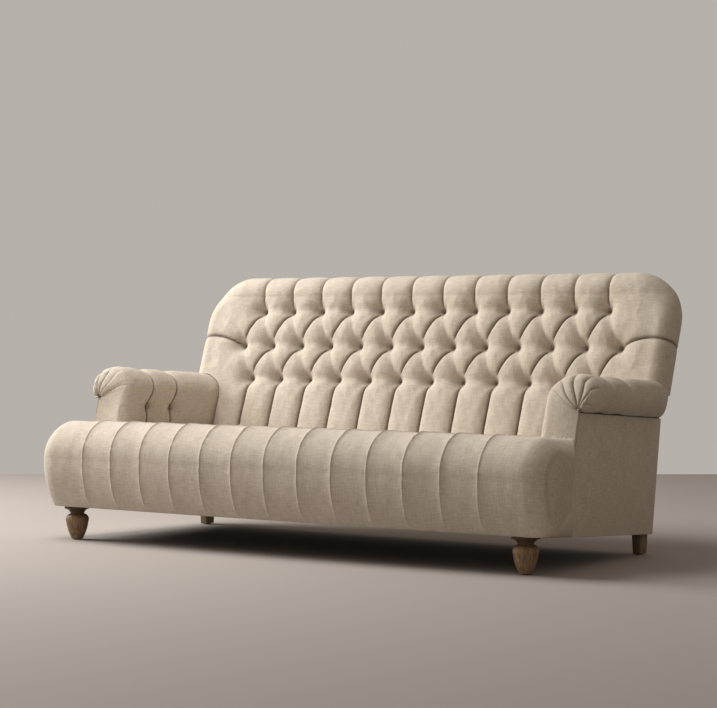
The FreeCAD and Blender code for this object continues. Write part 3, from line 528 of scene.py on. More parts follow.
def tuft_depth(x, z):
    """How far the buttoned linen lies under its crowns over the front of the back, and how much painted shade
    darkens it in pits, slits and creases.
    """
    pits, slants, slits, painted_shades, tension = (np.zeros_like(x) for _ in range(5))
    for height, places, pull in button_rows.values():
        for place in places:
            away = np.hypot(x - place, (z - height) * 1.05)
            pits = np.maximum(pits, pit_depth / (1 + (away / pit_width) ** 2) ** 1.2)
            # Painted shade darkens the linen in and around each pit.
            painted_shades = np.maximum(painted_shades, 0.85 / (1 + (away / 12) ** 2) ** 2)
        inside = 1 - eased(np.abs(x), places[-1], places[-1] + 24)
        tension = np.maximum(tension, pull * bell(z - height, 25) * inside)
    for place in outer_places:
        for side in (-1, 1):
            joint = (place + side * pitch / 2, middle_row)
            for foot, head in (((place, lower_row), joint), (joint, (place, upper_row))):
                away, along = off_line(x, z, foot, head)
                span = np.sin(math.pi * np.clip(along, 0, 1))
                ends = eased(along, 0.14, 0.36) * (1 - eased(along, 0.8, 0.95))
                if head[0] > foot[0]:
                    fullness = 0.62 + 0.38 * eased(along, 0.1, 0.55)
                    slant = (pleat_depth - 7 * span) * fullness * pleat(away, pleat_width)
                    slit, painted_shade = slit_depth * bell(away, slit_width) * ends, bell(away, 4.0) * ends
                else:
                    slant = (pleat_depth - 12 * span) * bell(away, valley_width)
                    painted_shade = 0.2 * bell(away, crease_width) * ends
                    slit = crease_depth * bell(away, crease_width) * eased(1 - along, 0.35, 0.8) * ends
                slants, slits = np.maximum(slants, slant), np.maximum(slits, slit)
                painted_shades = np.maximum(painted_shades, painted_shade)
    near_line = off_nearest(x, pitch, -pitch / 2)
    near_line = np.where(np.abs(x) > outer_places[-1], np.abs(x) - outer_places[-1], near_line)
    down = np.clip((lower_row - z) / (lower_row - seat_top), 0, 1)
    lows = (low_depth - 17 * down ** 0.7 + 5 * eased(down, 0.75, 1)) * pleat(near_line, line_width, 2.5)
    lows = lows * eased(lower_row - z, -3, 24)
    climb = np.clip((z - upper_row) / (back_top - upper_row), 0, 1)
    tops = (top_depth - 26 * climb) * pleat(near_line, line_width) * eased(z - upper_row, -3, 26)
    below, above = eased(lower_row - z, 6, 36), eased(z - upper_row, 8, 40) * (1 - 0.75 * climb)
    for slit, narrow, painted_shade, wide in ((9 * below, 4.0, 0.9 * below, 4.4), (6 * above, 3.6, 0.6 * above, 3.8)):
        slits = np.maximum(slits, slit * bell(near_line, narrow))
        painted_shades = np.maximum(painted_shades, painted_shade * bell(near_line, wide))
    dents = sum(dent ** blend for dent in (pits, slants, lows, tops, tension)) ** (1 / blend)
    return np.minimum(dents + slits, deepest_dent), painted_shades


def end_pleat_depth(round_run, z):
    """The pleat that runs from the last middle button round each plain end, over its cloth run, and the
    painted shade along its crease.
    """
    span = np.clip(round_run / end_pleat_run, 0, 1)
    away = np.abs(z - middle_row - end_pleat_bow * np.sin(1.18 * math.pi * span))
    soft = end_pleat_full * (1 - span) ** 1.6 * pleat(away, 46)
    crease = bell(away, 5.0) * eased(round_run, 4, 26) * (1 - eased(span, 0.85, 1))
    return (soft + 5 * (1 - 0.5 * span) * crease) * eased(round_run, -14, 8), 0.85 * crease


arm_inside, arm_crest = 858.0, 502.5
shoulder_low, shoulder_width = 418.0, 105.0
arm_front, arm_rear, arm_side = -270.0, 350.0, 1044.3
scroll_height, scroll_overhang = 121.0, 49.0
scroll_fade, scroll_end_share, least_scroll = 95.0, 0.34, 40.0
panel_taper = 45.0 / (rear_foot - arm_front)
skirt_top, skirt_side, most_drop = 590.0, 915.0, 46.0


def shoulder_x(z):
    """Where the round inner shoulder of the arm stands at a height."""
    rise = np.clip((z - shoulder_low) / (arm_crest - shoulder_low), 0, 1)
    return arm_inside + shoulder_width * (1 - np.sqrt(1 - rise ** 2))


def scroll_share(along):
    """How much of the scroll's overhang is left, at a place along the arm."""
    return scroll_end_share + (1 - scroll_end_share) * eased(arm_rear - along, -4, scroll_fade)


def arm_fall(x, y):
    """How far the top of the arm's scroll lies under its crest, for a point level with the crest."""
    along = y - (arm_crest - seat_top) * rake
    side = arm_side - (along - arm_front) * panel_taper - scroll_overhang * (1 - scroll_share(along))
    top = np.minimum(arm_inside + shoulder_width, side - least_scroll)
    share = np.clip((np.abs(x) - top) / (side - top), 0, 0.985)
    return scroll_height / 2 * (1 - np.sqrt(1 - share ** 2))


def edge_roll(x, z):
    """Distance in from the back's outline as the front shows it, and how wide its edge rolls there."""
    climb, aside = max(0.0, z - corner_z), np.clip(np.abs(x) - corner_x, 0, None)
    plain = np.minimum(back_half - np.abs(x), back_top - z)
    gap = np.where((aside > 0) & (climb > 0), back_corner - np.hypot(aside, climb), plain)
    upright = climb ** 2 / np.maximum(aside ** 2 + climb ** 2, 1e-6)
    return gap, side_round + (roll_radius - side_round) * upright


steps_in_pitch, steps_in_diamond, steps_round_end = 36, 36, 14
coarse = np.arange(-6 * columns, 6 * columns + 1) * pitch / 12


def back_ring(z, shift):
    """Outline of the back at one height, with shift moving its middle points along for slanting pleats,
    and how many of its points lie on the front."""
    between_arms = z < arm_crest
    climb = max(0.0, z - corner_z)
    half = corner_x + math.sqrt(max(0.0, back_corner ** 2 - climb ** 2))
    if between_arms:
        half = float(shoulder_x(z)) - 0.5
    step = pitch / steps_in_pitch
    middle_count = columns * steps_in_pitch
    middle = (np.arange(middle_count + 1) - middle_count / 2) * step
    room = front_edge if between_arms else min(side_round, half - middle[-1] - 4)
    flat_half = half - room
    outer = np.linspace(middle[-1], flat_half, 25)[1:]
    side = flat_half + room * np.sin(np.radians(np.linspace(5, 90, 15)))
    x = np.concatenate([-side[::-1], -outer[::-1], middle, outer, side])
    x = x + shift * step / 2 * (1 - eased(np.abs(x), middle[-1] - 4, flat_half))
    crown = button_y(min(z, roll_height)) - crown_depth
    shares = np.linspace(0, 1, steps_round_end + 1)[1:]
    if between_arms:
        tuck = np.clip((np.abs(x) - flat_half) / room, 0, 1)
        y = crown + room * (1 - np.sqrt(1 - tuck ** 2))
        depth_back = button_y(z) + pad_inner
        right = [(half, y[-1] + (depth_back - y[-1]) * share, z) for share in shares]
        inner_x, inner_y = np.clip(coarse, 2 - half, half - 2), depth_back
        opening = half - 2
    else:
        gap, roll = edge_roll(x, z)
        under = np.clip(1 - gap / roll, 0, 1)
        y = crown + roll * (1 - np.sqrt(1 - under ** 2))
        edge_y = crown + float(edge_roll(half, z)[1])
        rounding = min(opening_round, max(0.0, z - opening_top + opening_round))
        opening = opening_half - opening_round + math.sqrt(opening_round ** 2 - rounding ** 2)
        cut = back_corner - math.hypot(opening + 2 - corner_x, climb) if z < panel_top else side_turn_in
        deepest = min(side_turn_in, back_top - z, cut)
        right = []
        for share in shares:
            gap = deepest * share ** 2
            if deepest == side_turn_in:
                gap = deepest * (1 - math.cos(share * math.pi / 2))
            px = corner_x + math.sqrt(max(0.0, (back_corner - gap) ** 2 - climb ** 2))
            py = edge_y + (rear_y(z) - edge_y) * math.sqrt(1 - (1 - gap / side_turn_in) ** 2)
            right.append((px, py, z))
        opening = min(opening if z < panel_top else opening_half, right[-1][0] - 2)
        depth_back = right[-1][1]
        inner_y = button_y(z) + pad_inner if z < panel_top else depth_back
        inner_x = np.clip(coarse, -opening, opening)
    inner = [(opening, depth_back, z), (opening, inner_y, z)] + [(px, inner_y, z) for px in inner_x[::-1]]
    inner += [(-opening, inner_y, z), (-opening, depth_back, z)]
    left = [(-px, py, pz) for px, py, pz in right[::-1]]
    return np.concatenate([np.column_stack([x, y, np.full_like(x, z)]), right, inner, left]), len(x)


levels = [(z, 0) for z in np.linspace(seat_top + 0.4, lower_row, 45)]
for low, high in ((lower_row, middle_row), (middle_row, upper_row)):
    diamond_levels = np.linspace(low, high, steps_in_diamond + 1)[1:]
    levels += [(z, (number + 1) % 2) for number, z in enumerate(diamond_levels)]
levels += [(z, 0) for z in np.linspace(upper_row, roll_height, 14)[1:]]
levels += [(roll_height + roll_radius * math.sin(turn), 0) for turn in np.radians(np.linspace(3, 89.2, 32))]
for step_at in (arm_crest, panel_top):
    place = next(number for number, (z, _) in enumerate(levels) if z > step_at)
    shift = levels[place - 1][1]
    levels[place:place] = [(step_at - 0.3, shift), (step_at + 0.3, shift)]
half_step_rings = {number for number, level in enumerate(levels) if level[1]}
built = [back_ring(*level) for level in levels]
rings = np.array([ring for ring, _ in built])
front = built[0][1]

end_line, rear_pleat_half = 925.0, 5.6 * pitch
x, z = rings[:, :front, 0], rings[:, :front, 2]
outline_half = rings[:, front - 1:front, 0]
side_ease = 1 - eased(np.abs(x), outline_half - 60, outline_half - 4)
depth, front_painted_shades = tuft_depth(x, z)
depth = depth * np.where(z < arm_crest, 1, side_ease)
end_fullness = eased(np.abs(x), 815, end_line) * (1 - eased(np.abs(x), back_half - 75, back_half))
depth = depth - 4 * end_fullness * eased(z, 505, 560) * (1 - eased(z, 780, back_top))
depth += (0.9 * ripple(x, z, 120, 11) + 0.6 * ripple(x, z, 44, 12)) * side_ease

# The normals are uneven at the two steps behind the pad, so the front takes one direction there.
normal = crosswise(np.gradient(rings, axis=0), np.gradient(rings, axis=1))
facing = np.array([0, -0.97, 0.243])
for step_at in (arm_crest, panel_top):
    at_step = (np.abs(rings[..., 2] - step_at) < 5) & (np.abs(rings[..., 0]) < end_line)
    normal = np.where(at_step[..., None], facing, normal)
frontward = normal[:, :front]
normal[:, :front] = frontward * np.where((frontward * (0, -1, 0.5)).sum(axis=-1, keepdims=True) < 0, -1, 1)
# Painted shade in the front's pits, slits and creases, and along the end pleats' creases, goes onto the cover
# as an attribute.
total, painted_shades = np.zeros(rings.shape[:2]), np.zeros(rings.shape[:2])
total[:, :front], painted_shades[:, :front] = depth, front_painted_shades * side_ease

run = cloth_run(rings)
last_button_run = [np.interp(staggered_places[-1], ring[:front, 0], distance[:front])
                   for ring, distance in zip(rings, run)]
round_run = run - np.array(last_button_run)[:, None]
reach = front + steps_round_end
over_arms = (rings[:, :, 2] > arm_crest)[:, front // 2:reach]
right_end, end_pleat_shades = end_pleat_depth(round_run[:, front // 2:reach], rings[:, front // 2:reach, 2])
for grid, ends in ((total, right_end * over_arms), (painted_shades, end_pleat_shades * over_arms)):
    both = np.zeros_like(grid)
    both[:, front // 2:reach] = ends
    both[:, -steps_round_end:] = both[:, reach - 1:front - 1:-1]
    both[:, :front // 2] = both[:, front - 1:front - 1 - front // 2:-1]
    grid[:] = np.hypot(grid, both)

behind = np.zeros(rings.shape[1], bool)
behind[reach + 2:reach + 2 + len(coarse)] = True
near_line = off_nearest(rings[..., 0], pitch, -pitch / 2)
rear_pleats = (3 + 5 * eased(rings[..., 2], 800, back_top)) * pleat(near_line, 60)
rear_pleats = rear_pleats * (rings[..., 2] > panel_top)
total = np.where(behind[None, :] & (np.abs(rings[..., 0]) < rear_pleat_half), rear_pleats, total)
ends = np.zeros(rings.shape[1], int)
ends[front:reach], ends[-steps_round_end:] = 1, -1
outward = (normal * (1, 0.2, 0)).sum(axis=-1) * ends[None, :]
inward = (outward < 0) | behind[None, :] & (normal[..., 1] < 0)
rings = rings - np.where(inward[..., None], -normal, normal) * total[..., None]

# Over each arm the pad's end reaches down to the falling top of the scroll.
skirt = (rings[..., 2] > arm_crest) & (rings[..., 2] < skirt_top) & (np.abs(rings[..., 0]) > skirt_side)
drop = np.clip(arm_fall(rings[..., 0], rings[..., 1]), 0, most_drop)
drop = np.where(skirt, drop * (skirt_top - rings[..., 2]) / (skirt_top - arm_crest), 0)
rings[..., 2] -= drop
rings[..., 1] -= drop * rake
cloth = cloth_places(run, running(rings[:, front // 2])[:, None])
back_cover = skin("back_cover", rings, cloth, painted_shades, half_step_rings)
back_cover.data.materials.append(oatmeal)
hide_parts("back_upholstery")
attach(back_cover, "root")


# Arm covers
# Stuffed arms that roll outwards. The linen runs up the inside, over the top and under the scroll, and
# its front is gathered in folds to one point. Two buttoned pleats divide the inside and the top.

arm_lip = -259.4
panel_face_front, panel_thickness = 998.0, 10.0
arm_pleats = (-135.0, -5.0)
arm_pleat_depth, arm_pleat_width, arm_crease_width = 9.0, 64.0, 3.6
arm_pit_width, under_crease_width, lip_width = 34.0, 2.5, 3.5
arm_button_height, arm_button_sink = 365.0, 6.0
arm_round, arm_end_round = 34.0, 9.0
arm_wall, wall_depth = 38.0, 25.2
arm_base = seat_top + 0.3
gather_height = 386.0
breast, crest_place, side_place, under_place = 23, 67, 107, 125
gather_puff, gather_pinch, shade_line_width = 13.0, 10.0, 0.011
# Each gathered fold has its place over the scroll from 0 to 1, its depth, its width and its reach.
arm_folds = {"right": ((0.09, 3.5, 0.10, 16), (0.23, 8.0, 0.11, 30), (0.41, 12.0, 0.11, 44),
                       (0.58, 12.0, 0.10, 44), (0.73, 8.5, 0.085, 34), (0.88, 5.0, 0.07, 24)),
             "left": ((0.06, 3.5, 0.08, 8), (0.30, 3.5, 0.09, 14), (0.48, 7.5, 0.10, 26),
                      (0.63, 13.0, 0.11, 40), (0.78, 13.0, 0.10, 40), (0.92, 8.0, 0.07, 28))}


def seat_fall(x):
    """How far the seat's rounded end lies under the seat's top, at a place along the sofa."""
    past = max(0.0, x - seat_half + corner_radius) / corner_radius
    return end_fall * (1 - math.sqrt(max(0.0, 1 - past ** 2)))


def oval(middle, reach, start, end, count):
    """Points along an oval, from one turn to another in degrees, with its reach sideways and upwards."""
    return [(middle[0] + reach[0] * math.cos(turn), middle[1] + reach[1] * math.sin(turn))
            for turn in np.radians(np.linspace(start, end, count + 1))]


def arm_ring(y, inset, keep=1.0):
    """Outline of the right arm in a raked plane that meets the seat at y, from its inner foot round to
    its outer heel. inset eases an end's edge, and keep is how much of the scroll's overhang is left."""
    crest_z = arm_crest - inset * 0.5
    middle_z = arm_crest - scroll_height / 2
    under_z = arm_crest - scroll_height + inset / 3 + 2 * (1 - keep)
    lip = panel_thickness if y < arm_lip else 0.0

    def outside(z):
        behind = y + (z - arm_base) * rake - arm_front
        return panel_face_front - panel_thickness - behind * panel_taper + lip - inset / 8

    inside_x = arm_inside + inset
    side_x = outside(middle_z) - lip + panel_thickness + scroll_overhang * keep - inset * 0.3
    top_x = min(arm_inside + shoulder_width, side_x - least_scroll)
    under_x, heel_x = outside(under_z), outside(arm_base)
    points = [(inside_x, z) for z in np.linspace(arm_base, shoulder_low, breast + 1)[:-1]]
    points += oval((top_x, shoulder_low), (inside_x - top_x, crest_z - shoulder_low), 0, 90,
                   crest_place - breast)[:-1]
    points += oval((top_x, middle_z), (side_x - top_x, crest_z - middle_z), 90, 0,
                   side_place - crest_place)[:-1]
    points += oval((under_x, middle_z), (side_x - under_x, under_z - middle_z), 0, 90,
                   under_place - side_place)
    heel_z = arm_base - seat_fall(heel_x)
    points += [(outside(z), z) for z in np.linspace(under_z, heel_z, 13)[1:]]
    if y < arm_front + arm_wall:
        for share in (0.15, 0.35, 0.55, 0.75):
            px = heel_x + (inside_x - heel_x) * share
            points.append((px, arm_base - seat_fall(px)))
    else:
        wall_x = panel_face_front - panel_thickness - wall_depth - (y - arm_front) * panel_taper
        points += [(wall_x, arm_base), (wall_x, arm_crest - arm_wall),
                   (arm_inside + arm_wall, arm_crest - arm_wall), (arm_inside + arm_wall, arm_base)]
    return np.array([(px, y + (pz - arm_base) * rake, pz) for px, pz in points])


face = arm_ring(arm_front, arm_round)
gather = np.array([panel_face_front - 6, arm_front + (gather_height - arm_base) * rake, gather_height])
target = face.copy()
shrink = (gather_height - arm_base) / (face[breast, 2] - arm_base)
target[:breast, 0] = gather[0]
target[:breast, 2] = arm_base + (face[:breast, 2] - arm_base) * shrink
target[:breast, 1] = arm_front + (target[:breast, 2] - arm_base) * rake
target[breast:under_place + 1] = gather
place = np.arange(len(face))
dome = gather_puff * eased(place, breast - 16, breast + 30) * (place <= under_place)
rows = []
for share in 1 - np.linspace(0, 1, 34)[:-1] ** 0.9:
    row = face + (target - face) * share
    row[:, 1] -= dome * math.sin(math.pi * min(1.0, share * 0.95 + 0.05)) ** 0.8
    rows.append((row, share, arm_front))

stations = [arm_front + arm_round * (1 - math.cos(turn)) for turn in np.radians(np.linspace(12, 90, 14))]
stations += [arm_front + arm_wall - 0.3, arm_front + arm_wall + 0.3, arm_lip - 0.2, arm_lip + 0.2]
near = np.array([0, 1.4, 3.2, 5.5, 8.5, 12, 16, 21, 27, 34, 42, 52])
for line in arm_pleats:
    stations += [*(line - near), *(line + near[1:])]
stations += list(np.arange(arm_front + arm_round + 8, arm_pleats[0] - 56, 6.0))
stations += list(np.arange(arm_pleats[1] + 60, arm_rear - arm_end_round, 7.0))
stations += [arm_rear - arm_end_round * (1 - math.sin(turn)) for turn in np.radians(np.linspace(0, 88, 8))]
for y in sorted(stations):
    ahead, behind = max(0.0, arm_front + arm_round - y), max(0.0, y - arm_rear + arm_end_round)
    inset = arm_round - math.sqrt(max(0.0, arm_round ** 2 - ahead ** 2))
    inset += arm_end_round - math.sqrt(max(0.0, arm_end_round ** 2 - behind ** 2))
    rows.append((arm_ring(y, inset, float(scroll_share(y))), 0.0, y))

rings = np.array([row for row, _, _ in rows])
centred = np.array([share for _, share, _ in rows])[:, None]
y_line = np.array([y for _, _, y in rows])[:, None]
place = np.arange(rings.shape[1])[None, :]
height = rings[:, :, 2]
turned_over = np.clip((place - breast) / (under_place - breast), 0, 1)
covered, past_edge = place <= under_place, np.clip(y_line - arm_front, 0, None)
# Painted shade, from 0 to 1, goes with the depths: the linen is darkened in the pleats' creases, in the
# button pits, round the gathers' point, over the gathered face, under the scroll and along the lip.
depth, painted_shades = np.zeros(rings.shape[:2]), np.zeros(rings.shape[:2])
outer_fade = 1 - 0.6 * eased(turned_over, 0.5, 0.95)
for line in arm_pleats:
    bowed = line + 5 * eased(height, 372, 430) + 3 * eased(arm_button_height - 6 - height, 0, 50)
    away = np.abs(y_line - bowed)
    shape = arm_pleat_depth * pleat(away, arm_pleat_width) + 4 * bell(away, 24) * eased(turned_over, 0.1, 0.4)
    far_off = np.hypot(y_line - line, height - arm_button_height)
    pit = (arm_pleat_depth + arm_button_sink + 6) / (1 + (far_off / arm_pit_width) ** 2) ** 1.2
    pit = pit * (place < breast + 14)
    crease = bell(away, arm_crease_width) * outer_fade ** 2 * (centred <= 0) * covered
    crease = crease * (1 - eased(turned_over, 0.62, 0.85))
    depth = np.maximum(depth, (shape ** 3 + pit ** 3) ** (1 / 3) * outer_fade + 3 * crease)
    # Painted shade in and around each button pit.
    pit_shade = 0.95 / (1 + (far_off / 15) ** 2) ** 2 * (place < breast + 8)
    painted_shades = np.maximum(painted_shades, np.maximum(0.9 * crease, pit_shade))


def gathered(gathers):
    """Depth of the folds drawn to one point at a scroll's front, and painted shade along the lines of the
    folds.
    """
    fan, gather_shade_lines = np.zeros_like(depth), np.zeros_like(depth)
    for middle, deep, width, length in gathers:
        line = middle + 0.02 * np.sin(centred * 5 + middle * 9)
        off = (turned_over - line) / width
        off = np.where(off < 0, -off * 1.9, off)
        over_face = 0.75 + 0.25 * np.sin(math.pi * np.clip(centred, 0, 1))
        strength = np.where(centred > 0, over_face, 0.75 * (1 - eased(past_edge, 4, length)))
        strength = strength * (1 - eased(centred, 0.9, 1.0))
        fan = np.maximum(fan, deep * strength * pleat(off, 1.0))
        # Painted shade along the line of each gathered fold.
        gather_shade_lines = np.maximum(gather_shade_lines, 0.8 * strength * bell(off * width, shade_line_width) * (deep / 9) * covered)
    return fan * (place >= breast - 2) * covered, gather_shade_lines


depth = depth + gather_pinch * eased(centred, 0.8, 1.0) * (turned_over > 0) * (turned_over < 1)
# Painted shade: dark at the point where the gathers meet, and a broad darkening over the gathered face.
painted_shades = np.maximum(painted_shades, 0.9 * eased(centred, 0.84, 0.96) * (turned_over > 0))
painted_shades = np.maximum(painted_shades, 0.28 * eased(centred, 0.1, 1.0) * covered)
# Along the crease under the scroll the linen dips and is darkened with painted shade.
near_under = bell(place - under_place, under_crease_width) * (centred <= 0)
depth = depth + near_under * (1.6 + 1.4 * ripple(y_line, y_line * 0, 34, 21))
painted_shades = np.maximum(painted_shades, 0.7 * near_under)
run = cloth_run(rings)
depth = depth + 0.8 * ripple(y_line, run, 150, 22) + 0.5 * ripple(y_line, run, 55, 23)
depth[:, under_place + 2:] = 0
depth[:, 0] = 0
# Painted shade along the lip line, behind the scroll.
painted_shades[:, under_place + 2:] = 0.6 * bell(y_line - arm_lip, lip_width) * (centred <= 0)

normal = crosswise(np.gradient(rings, axis=1), np.gradient(rings, axis=0))
outward = rings - np.array([arm_inside + 90, 0, 400])
outward[..., 1] = 0
flip = np.where((normal * outward).sum(axis=-1, keepdims=True) < 0, -1, 1)
facing = np.array([0, -1, rake]) / math.hypot(1, rake)
normal = np.where(centred[..., None] > 0, facing, normal * flip)
plain_ring = 60
cloth = cloth_places(running(rings[:, crest_place])[:, None], run[plain_ring])
for side, mirror in (("right", (1, 1, 1)), ("left", (-1, 1, 1))):
    fan, gather_shade_lines = gathered(arm_folds[side])
    sunk = (rings - normal * (depth + fan)[..., None]) * mirror
    arm_cover = skin("arm_cover_" + side, sunk, cloth, np.maximum(painted_shades, gather_shade_lines))
    arm_cover.data.materials.append(oatmeal)
    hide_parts("arm_upholstery_" + side)
    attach(arm_cover, "root")


# Outside panels
# Thin boards with the linen pulled flat over them. They close the outside of each arm and the whole
# back, and are tacked on last, so their edges are crisp but for the cloth's own thickness.


def eased_copy(node, name, edge_width, least_edge=0.0):
    """Clean copy of a CAD piece with its long edges eased, and cloth metres as its UV map."""
    mesh = frame["nodes"][node].data.copy()
    mesh.name = name
    mesh.materials.clear()
    work = bmesh.new()
    work.from_mesh(mesh)
    bmesh.ops.remove_doubles(work, verts=work.verts, dist=0.00001)
    bmesh.ops.dissolve_limit(work, angle_limit=math.radians(0.3), verts=work.verts, edges=work.edges)
    sharp = [edge for edge in work.edges if len(edge.link_faces) == 2 and edge.calc_length() > least_edge
             and edge.calc_face_angle(0) > math.radians(25)]
    bmesh.ops.bevel(work, geom=sharp, offset=edge_width, segments=3, profile=0.5, affect="EDGES",
                    clamp_overlap=True)
    bmesh.ops.recalc_face_normals(work, faces=work.faces)
    layer = work.loops.layers.uv.new("cloth")
    for face in work.faces:
        for loop in face.loops:
            loop[layer].uv = face_cloth(face.normal, loop.vert.co)
    smoothed(work, 40)
    work.to_mesh(mesh)
    work.free()
    return stand(name, mesh)


for node in ("outside_arm_panel_left", "outside_arm_panel_right", "outside_back_panel"):
    panel = eased_copy(node, "covered_" + node, 0.0025)
    panel.data.materials.append(oatmeal)
    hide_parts(node)
    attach(panel, "root")


# Buttons
# Small metal moulds covered in the same linen, each pulled down to the back's or the arm's frame with
# twine, so that only a flat dome shows at the bottom of its pit.

button_radius = 8.0
button_rise = 3.0
# The buttons' linen is a darker copy of the oatmeal: painted shade of the deep pits they sit in.
button_linen_in_shade = linen("linen_painted_shade_of_pits", (0.30, 0.255, 0.20))


def button_tree():
    """One covered button on every point, lying flat to its row, as one plain mesh."""
    tree = bpy.data.node_groups.new("covered_buttons", "GeometryNodeTree")
    for name, kind in (("Places", "Geometry"), ("Radius", "Float"), ("Rise", "Float"), ("Facing", "Vector"),
                       ("Cloth", "Material")):
        tree.interface.new_socket(name, in_out="INPUT", socket_type="NodeSocket" + kind)
    tree.interface.new_socket("Buttons", in_out="OUTPUT", socket_type="NodeSocketGeometry")
    given = add_node(tree, "NodeGroupInput", {}).outputs
    ball = add_node(tree, "GeometryNodeMeshUVSphere", {"Segments": 20, "Rings": 10, "Radius": 1.0})
    size = add_node(tree, "ShaderNodeCombineXYZ", {"X": given["Radius"], "Y": given["Radius"],
                                                   "Z": given["Rise"]})
    flat = add_node(tree, "GeometryNodeTransform", {"Geometry": ball.outputs["Mesh"],
                                                    "Scale": size.outputs["Vector"]})
    turn = add_node(tree, "FunctionNodeAlignRotationToVector", {"Vector": given["Facing"]}, axis="Z")
    spread = add_node(tree, "GeometryNodeInstanceOnPoints", {"Points": given["Places"],
                                                             "Instance": flat.outputs["Geometry"],
                                                             "Rotation": turn.outputs["Rotation"]})
    real = add_node(tree, "GeometryNodeRealizeInstances", {"Geometry": spread.outputs["Instances"]})
    soft = add_node(tree, "GeometryNodeSetShadeSmooth", {0: real.outputs["Geometry"]})
    clad = add_node(tree, "GeometryNodeSetMaterial", {"Geometry": soft.outputs[0],
                                                      "Material": given["Cloth"]})
    add_node(tree, "NodeGroupOutput", {"Buttons": clad.outputs["Geometry"]})
    return tree


covered_buttons = button_tree()


def sewn_buttons(name, places, facing, node):
    """Buttons on body points in millimetres, turned with the body."""
    seed = bpy.data.meshes.new(name + "_places")
    seed.from_pydata(leaned(places).tolist(), [], [])
    marker = stand(name + "_places", seed)
    middle, ahead = leaned([(0, 0, 0), facing])
    growth = marker.modifiers.new("buttons", "NODES")
    growth.node_group = covered_buttons
    socket = {item.name: item.identifier for item in covered_buttons.interface.items_tree}
    growth[socket["Radius"]] = button_radius / 1000
    growth[socket["Rise"]] = button_rise / 1000
    growth[socket["Facing"]] = tuple((ahead - middle) * 1000)
    growth[socket["Cloth"]] = button_linen_in_shade
    evaluated = marker.evaluated_get(bpy.context.evaluated_depsgraph_get())
    mesh = bpy.data.meshes.new_from_object(evaluated)
    mesh.name = name
    layer = mesh.uv_layers.get("cloth") or mesh.uv_layers.new(name="cloth")
    spots = np.zeros(len(mesh.vertices) * 3)
    mesh.vertices.foreach_get("co", spots)
    across = spots.reshape(-1, 3)[corner_points(mesh)][:, (0, 2)]
    layer.data.foreach_set("uv", across.astype(np.float32).ravel())
    bpy.data.objects.remove(marker)
    bpy.data.meshes.remove(seed)
    buttons = stand(name, mesh)
    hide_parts(node)
    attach(buttons, "root")


button_sink = 1.8
for name, (height, across, _) in button_rows.items():
    places = [(x, button_y(height) + button_sink, height) for x in across]
    sewn_buttons(name + "_row_buttons", places, (0, -1, rake), "back_buttons_" + name + "_row")
sunk_to = arm_inside + arm_pleat_depth + arm_button_sink
for side, way in (("right", 1), ("left", -1)):
    places = [(way * sunk_to, line + (arm_button_height - seat_top) * rake, arm_button_height)
              for line in arm_pleats]
    sewn_buttons("arm_buttons_cover_" + side, places, (-way, 0, 0), "arm_buttons_" + side)


# Front legs
# Turned oak vases, weathered brown: a flared collar against the underside, a tight neck, a round bulb and a
# straight taper to the foot, darker towards the collar with painted shade from the body above. Each is bored
# for its hanger bolt.

# Colour that the legs' wood is multiplied by towards the collar: painted shade from the body above.
collar_shade_tint = (0.36, 0.34, 0.33, 1)


def wood(name, dark, light, grain, roughness, painted_shade_heights=None):
    """Timber with grain along Z, from one dark and one light colour, darker towards the upper of two heights
    and above it with painted shade, when the heights are given.
    """
    timber, tree, shader = shaded(name, roughness)
    shader.inputs["Specular IOR Level"].default_value = 0.35
    place = add_node(tree, "ShaderNodeTexCoord", {}).outputs["Object"]
    mapping = add_node(tree, "ShaderNodeMapping", {"Scale": grain, "Vector": place})
    noise = add_node(tree, "ShaderNodeTexNoise", {"Scale": 6.0, "Detail": 6.0, "Distortion": 0.6,
                                                  "Vector": mapping.outputs["Vector"]})
    ramp = add_node(tree, "ShaderNodeValToRGB", {"Fac": noise.outputs["Fac"]})
    for stop, position, tone in zip(ramp.color_ramp.elements, (0.32, 0.68), (dark, light)):
        stop.position = position
        stop.color = (*tone, 1)
    colour = ramp.outputs["Color"]
    if painted_shade_heights:
        parts = add_node(tree, "ShaderNodeSeparateXYZ", {"Vector": place})
        climb = add_node(tree, "ShaderNodeMapRange", {"From Min": painted_shade_heights[0], "From Max": painted_shade_heights[1],
                                                      "Value": parts.outputs["Z"]})
        colour = multiplied(tree, climb.outputs["Result"], colour, collar_shade_tint)
    tree.links.new(colour, shader.inputs["Base Color"])
    bumped(tree, shader, noise.outputs["Fac"], 0.3, 0.0006)
    return timber


# The turned legs darken from 78 mm up to the collar with painted shade.
leg_oak = wood("weathered_oak", (0.15, 0.092, 0.05), (0.36, 0.245, 0.14), (26, 26, 1.8), 0.55,
               painted_shade_heights=(0.078, 0.098))
leg_places = (920.0, -412.5 + body_shift)
collar_radius, neck_radius, bulb_radius, foot_radius = 44.0, 23.5, 39.0, 21.0
leg_height, glide_height = 114.5, 3.0
dust_cover_thickness = 1.2
bore_radius, bore_depth = 4.5, 35.3
leg_sides = 72


def under_body(y):
    """Height of the dust cover's leaning underside over the floor, at a place in the room."""
    level = (y - body_shift) / math.cos(body_tilt)
    return body_lift - level * math.sin(body_tilt) - dust_cover_thickness * math.cos(body_tilt)


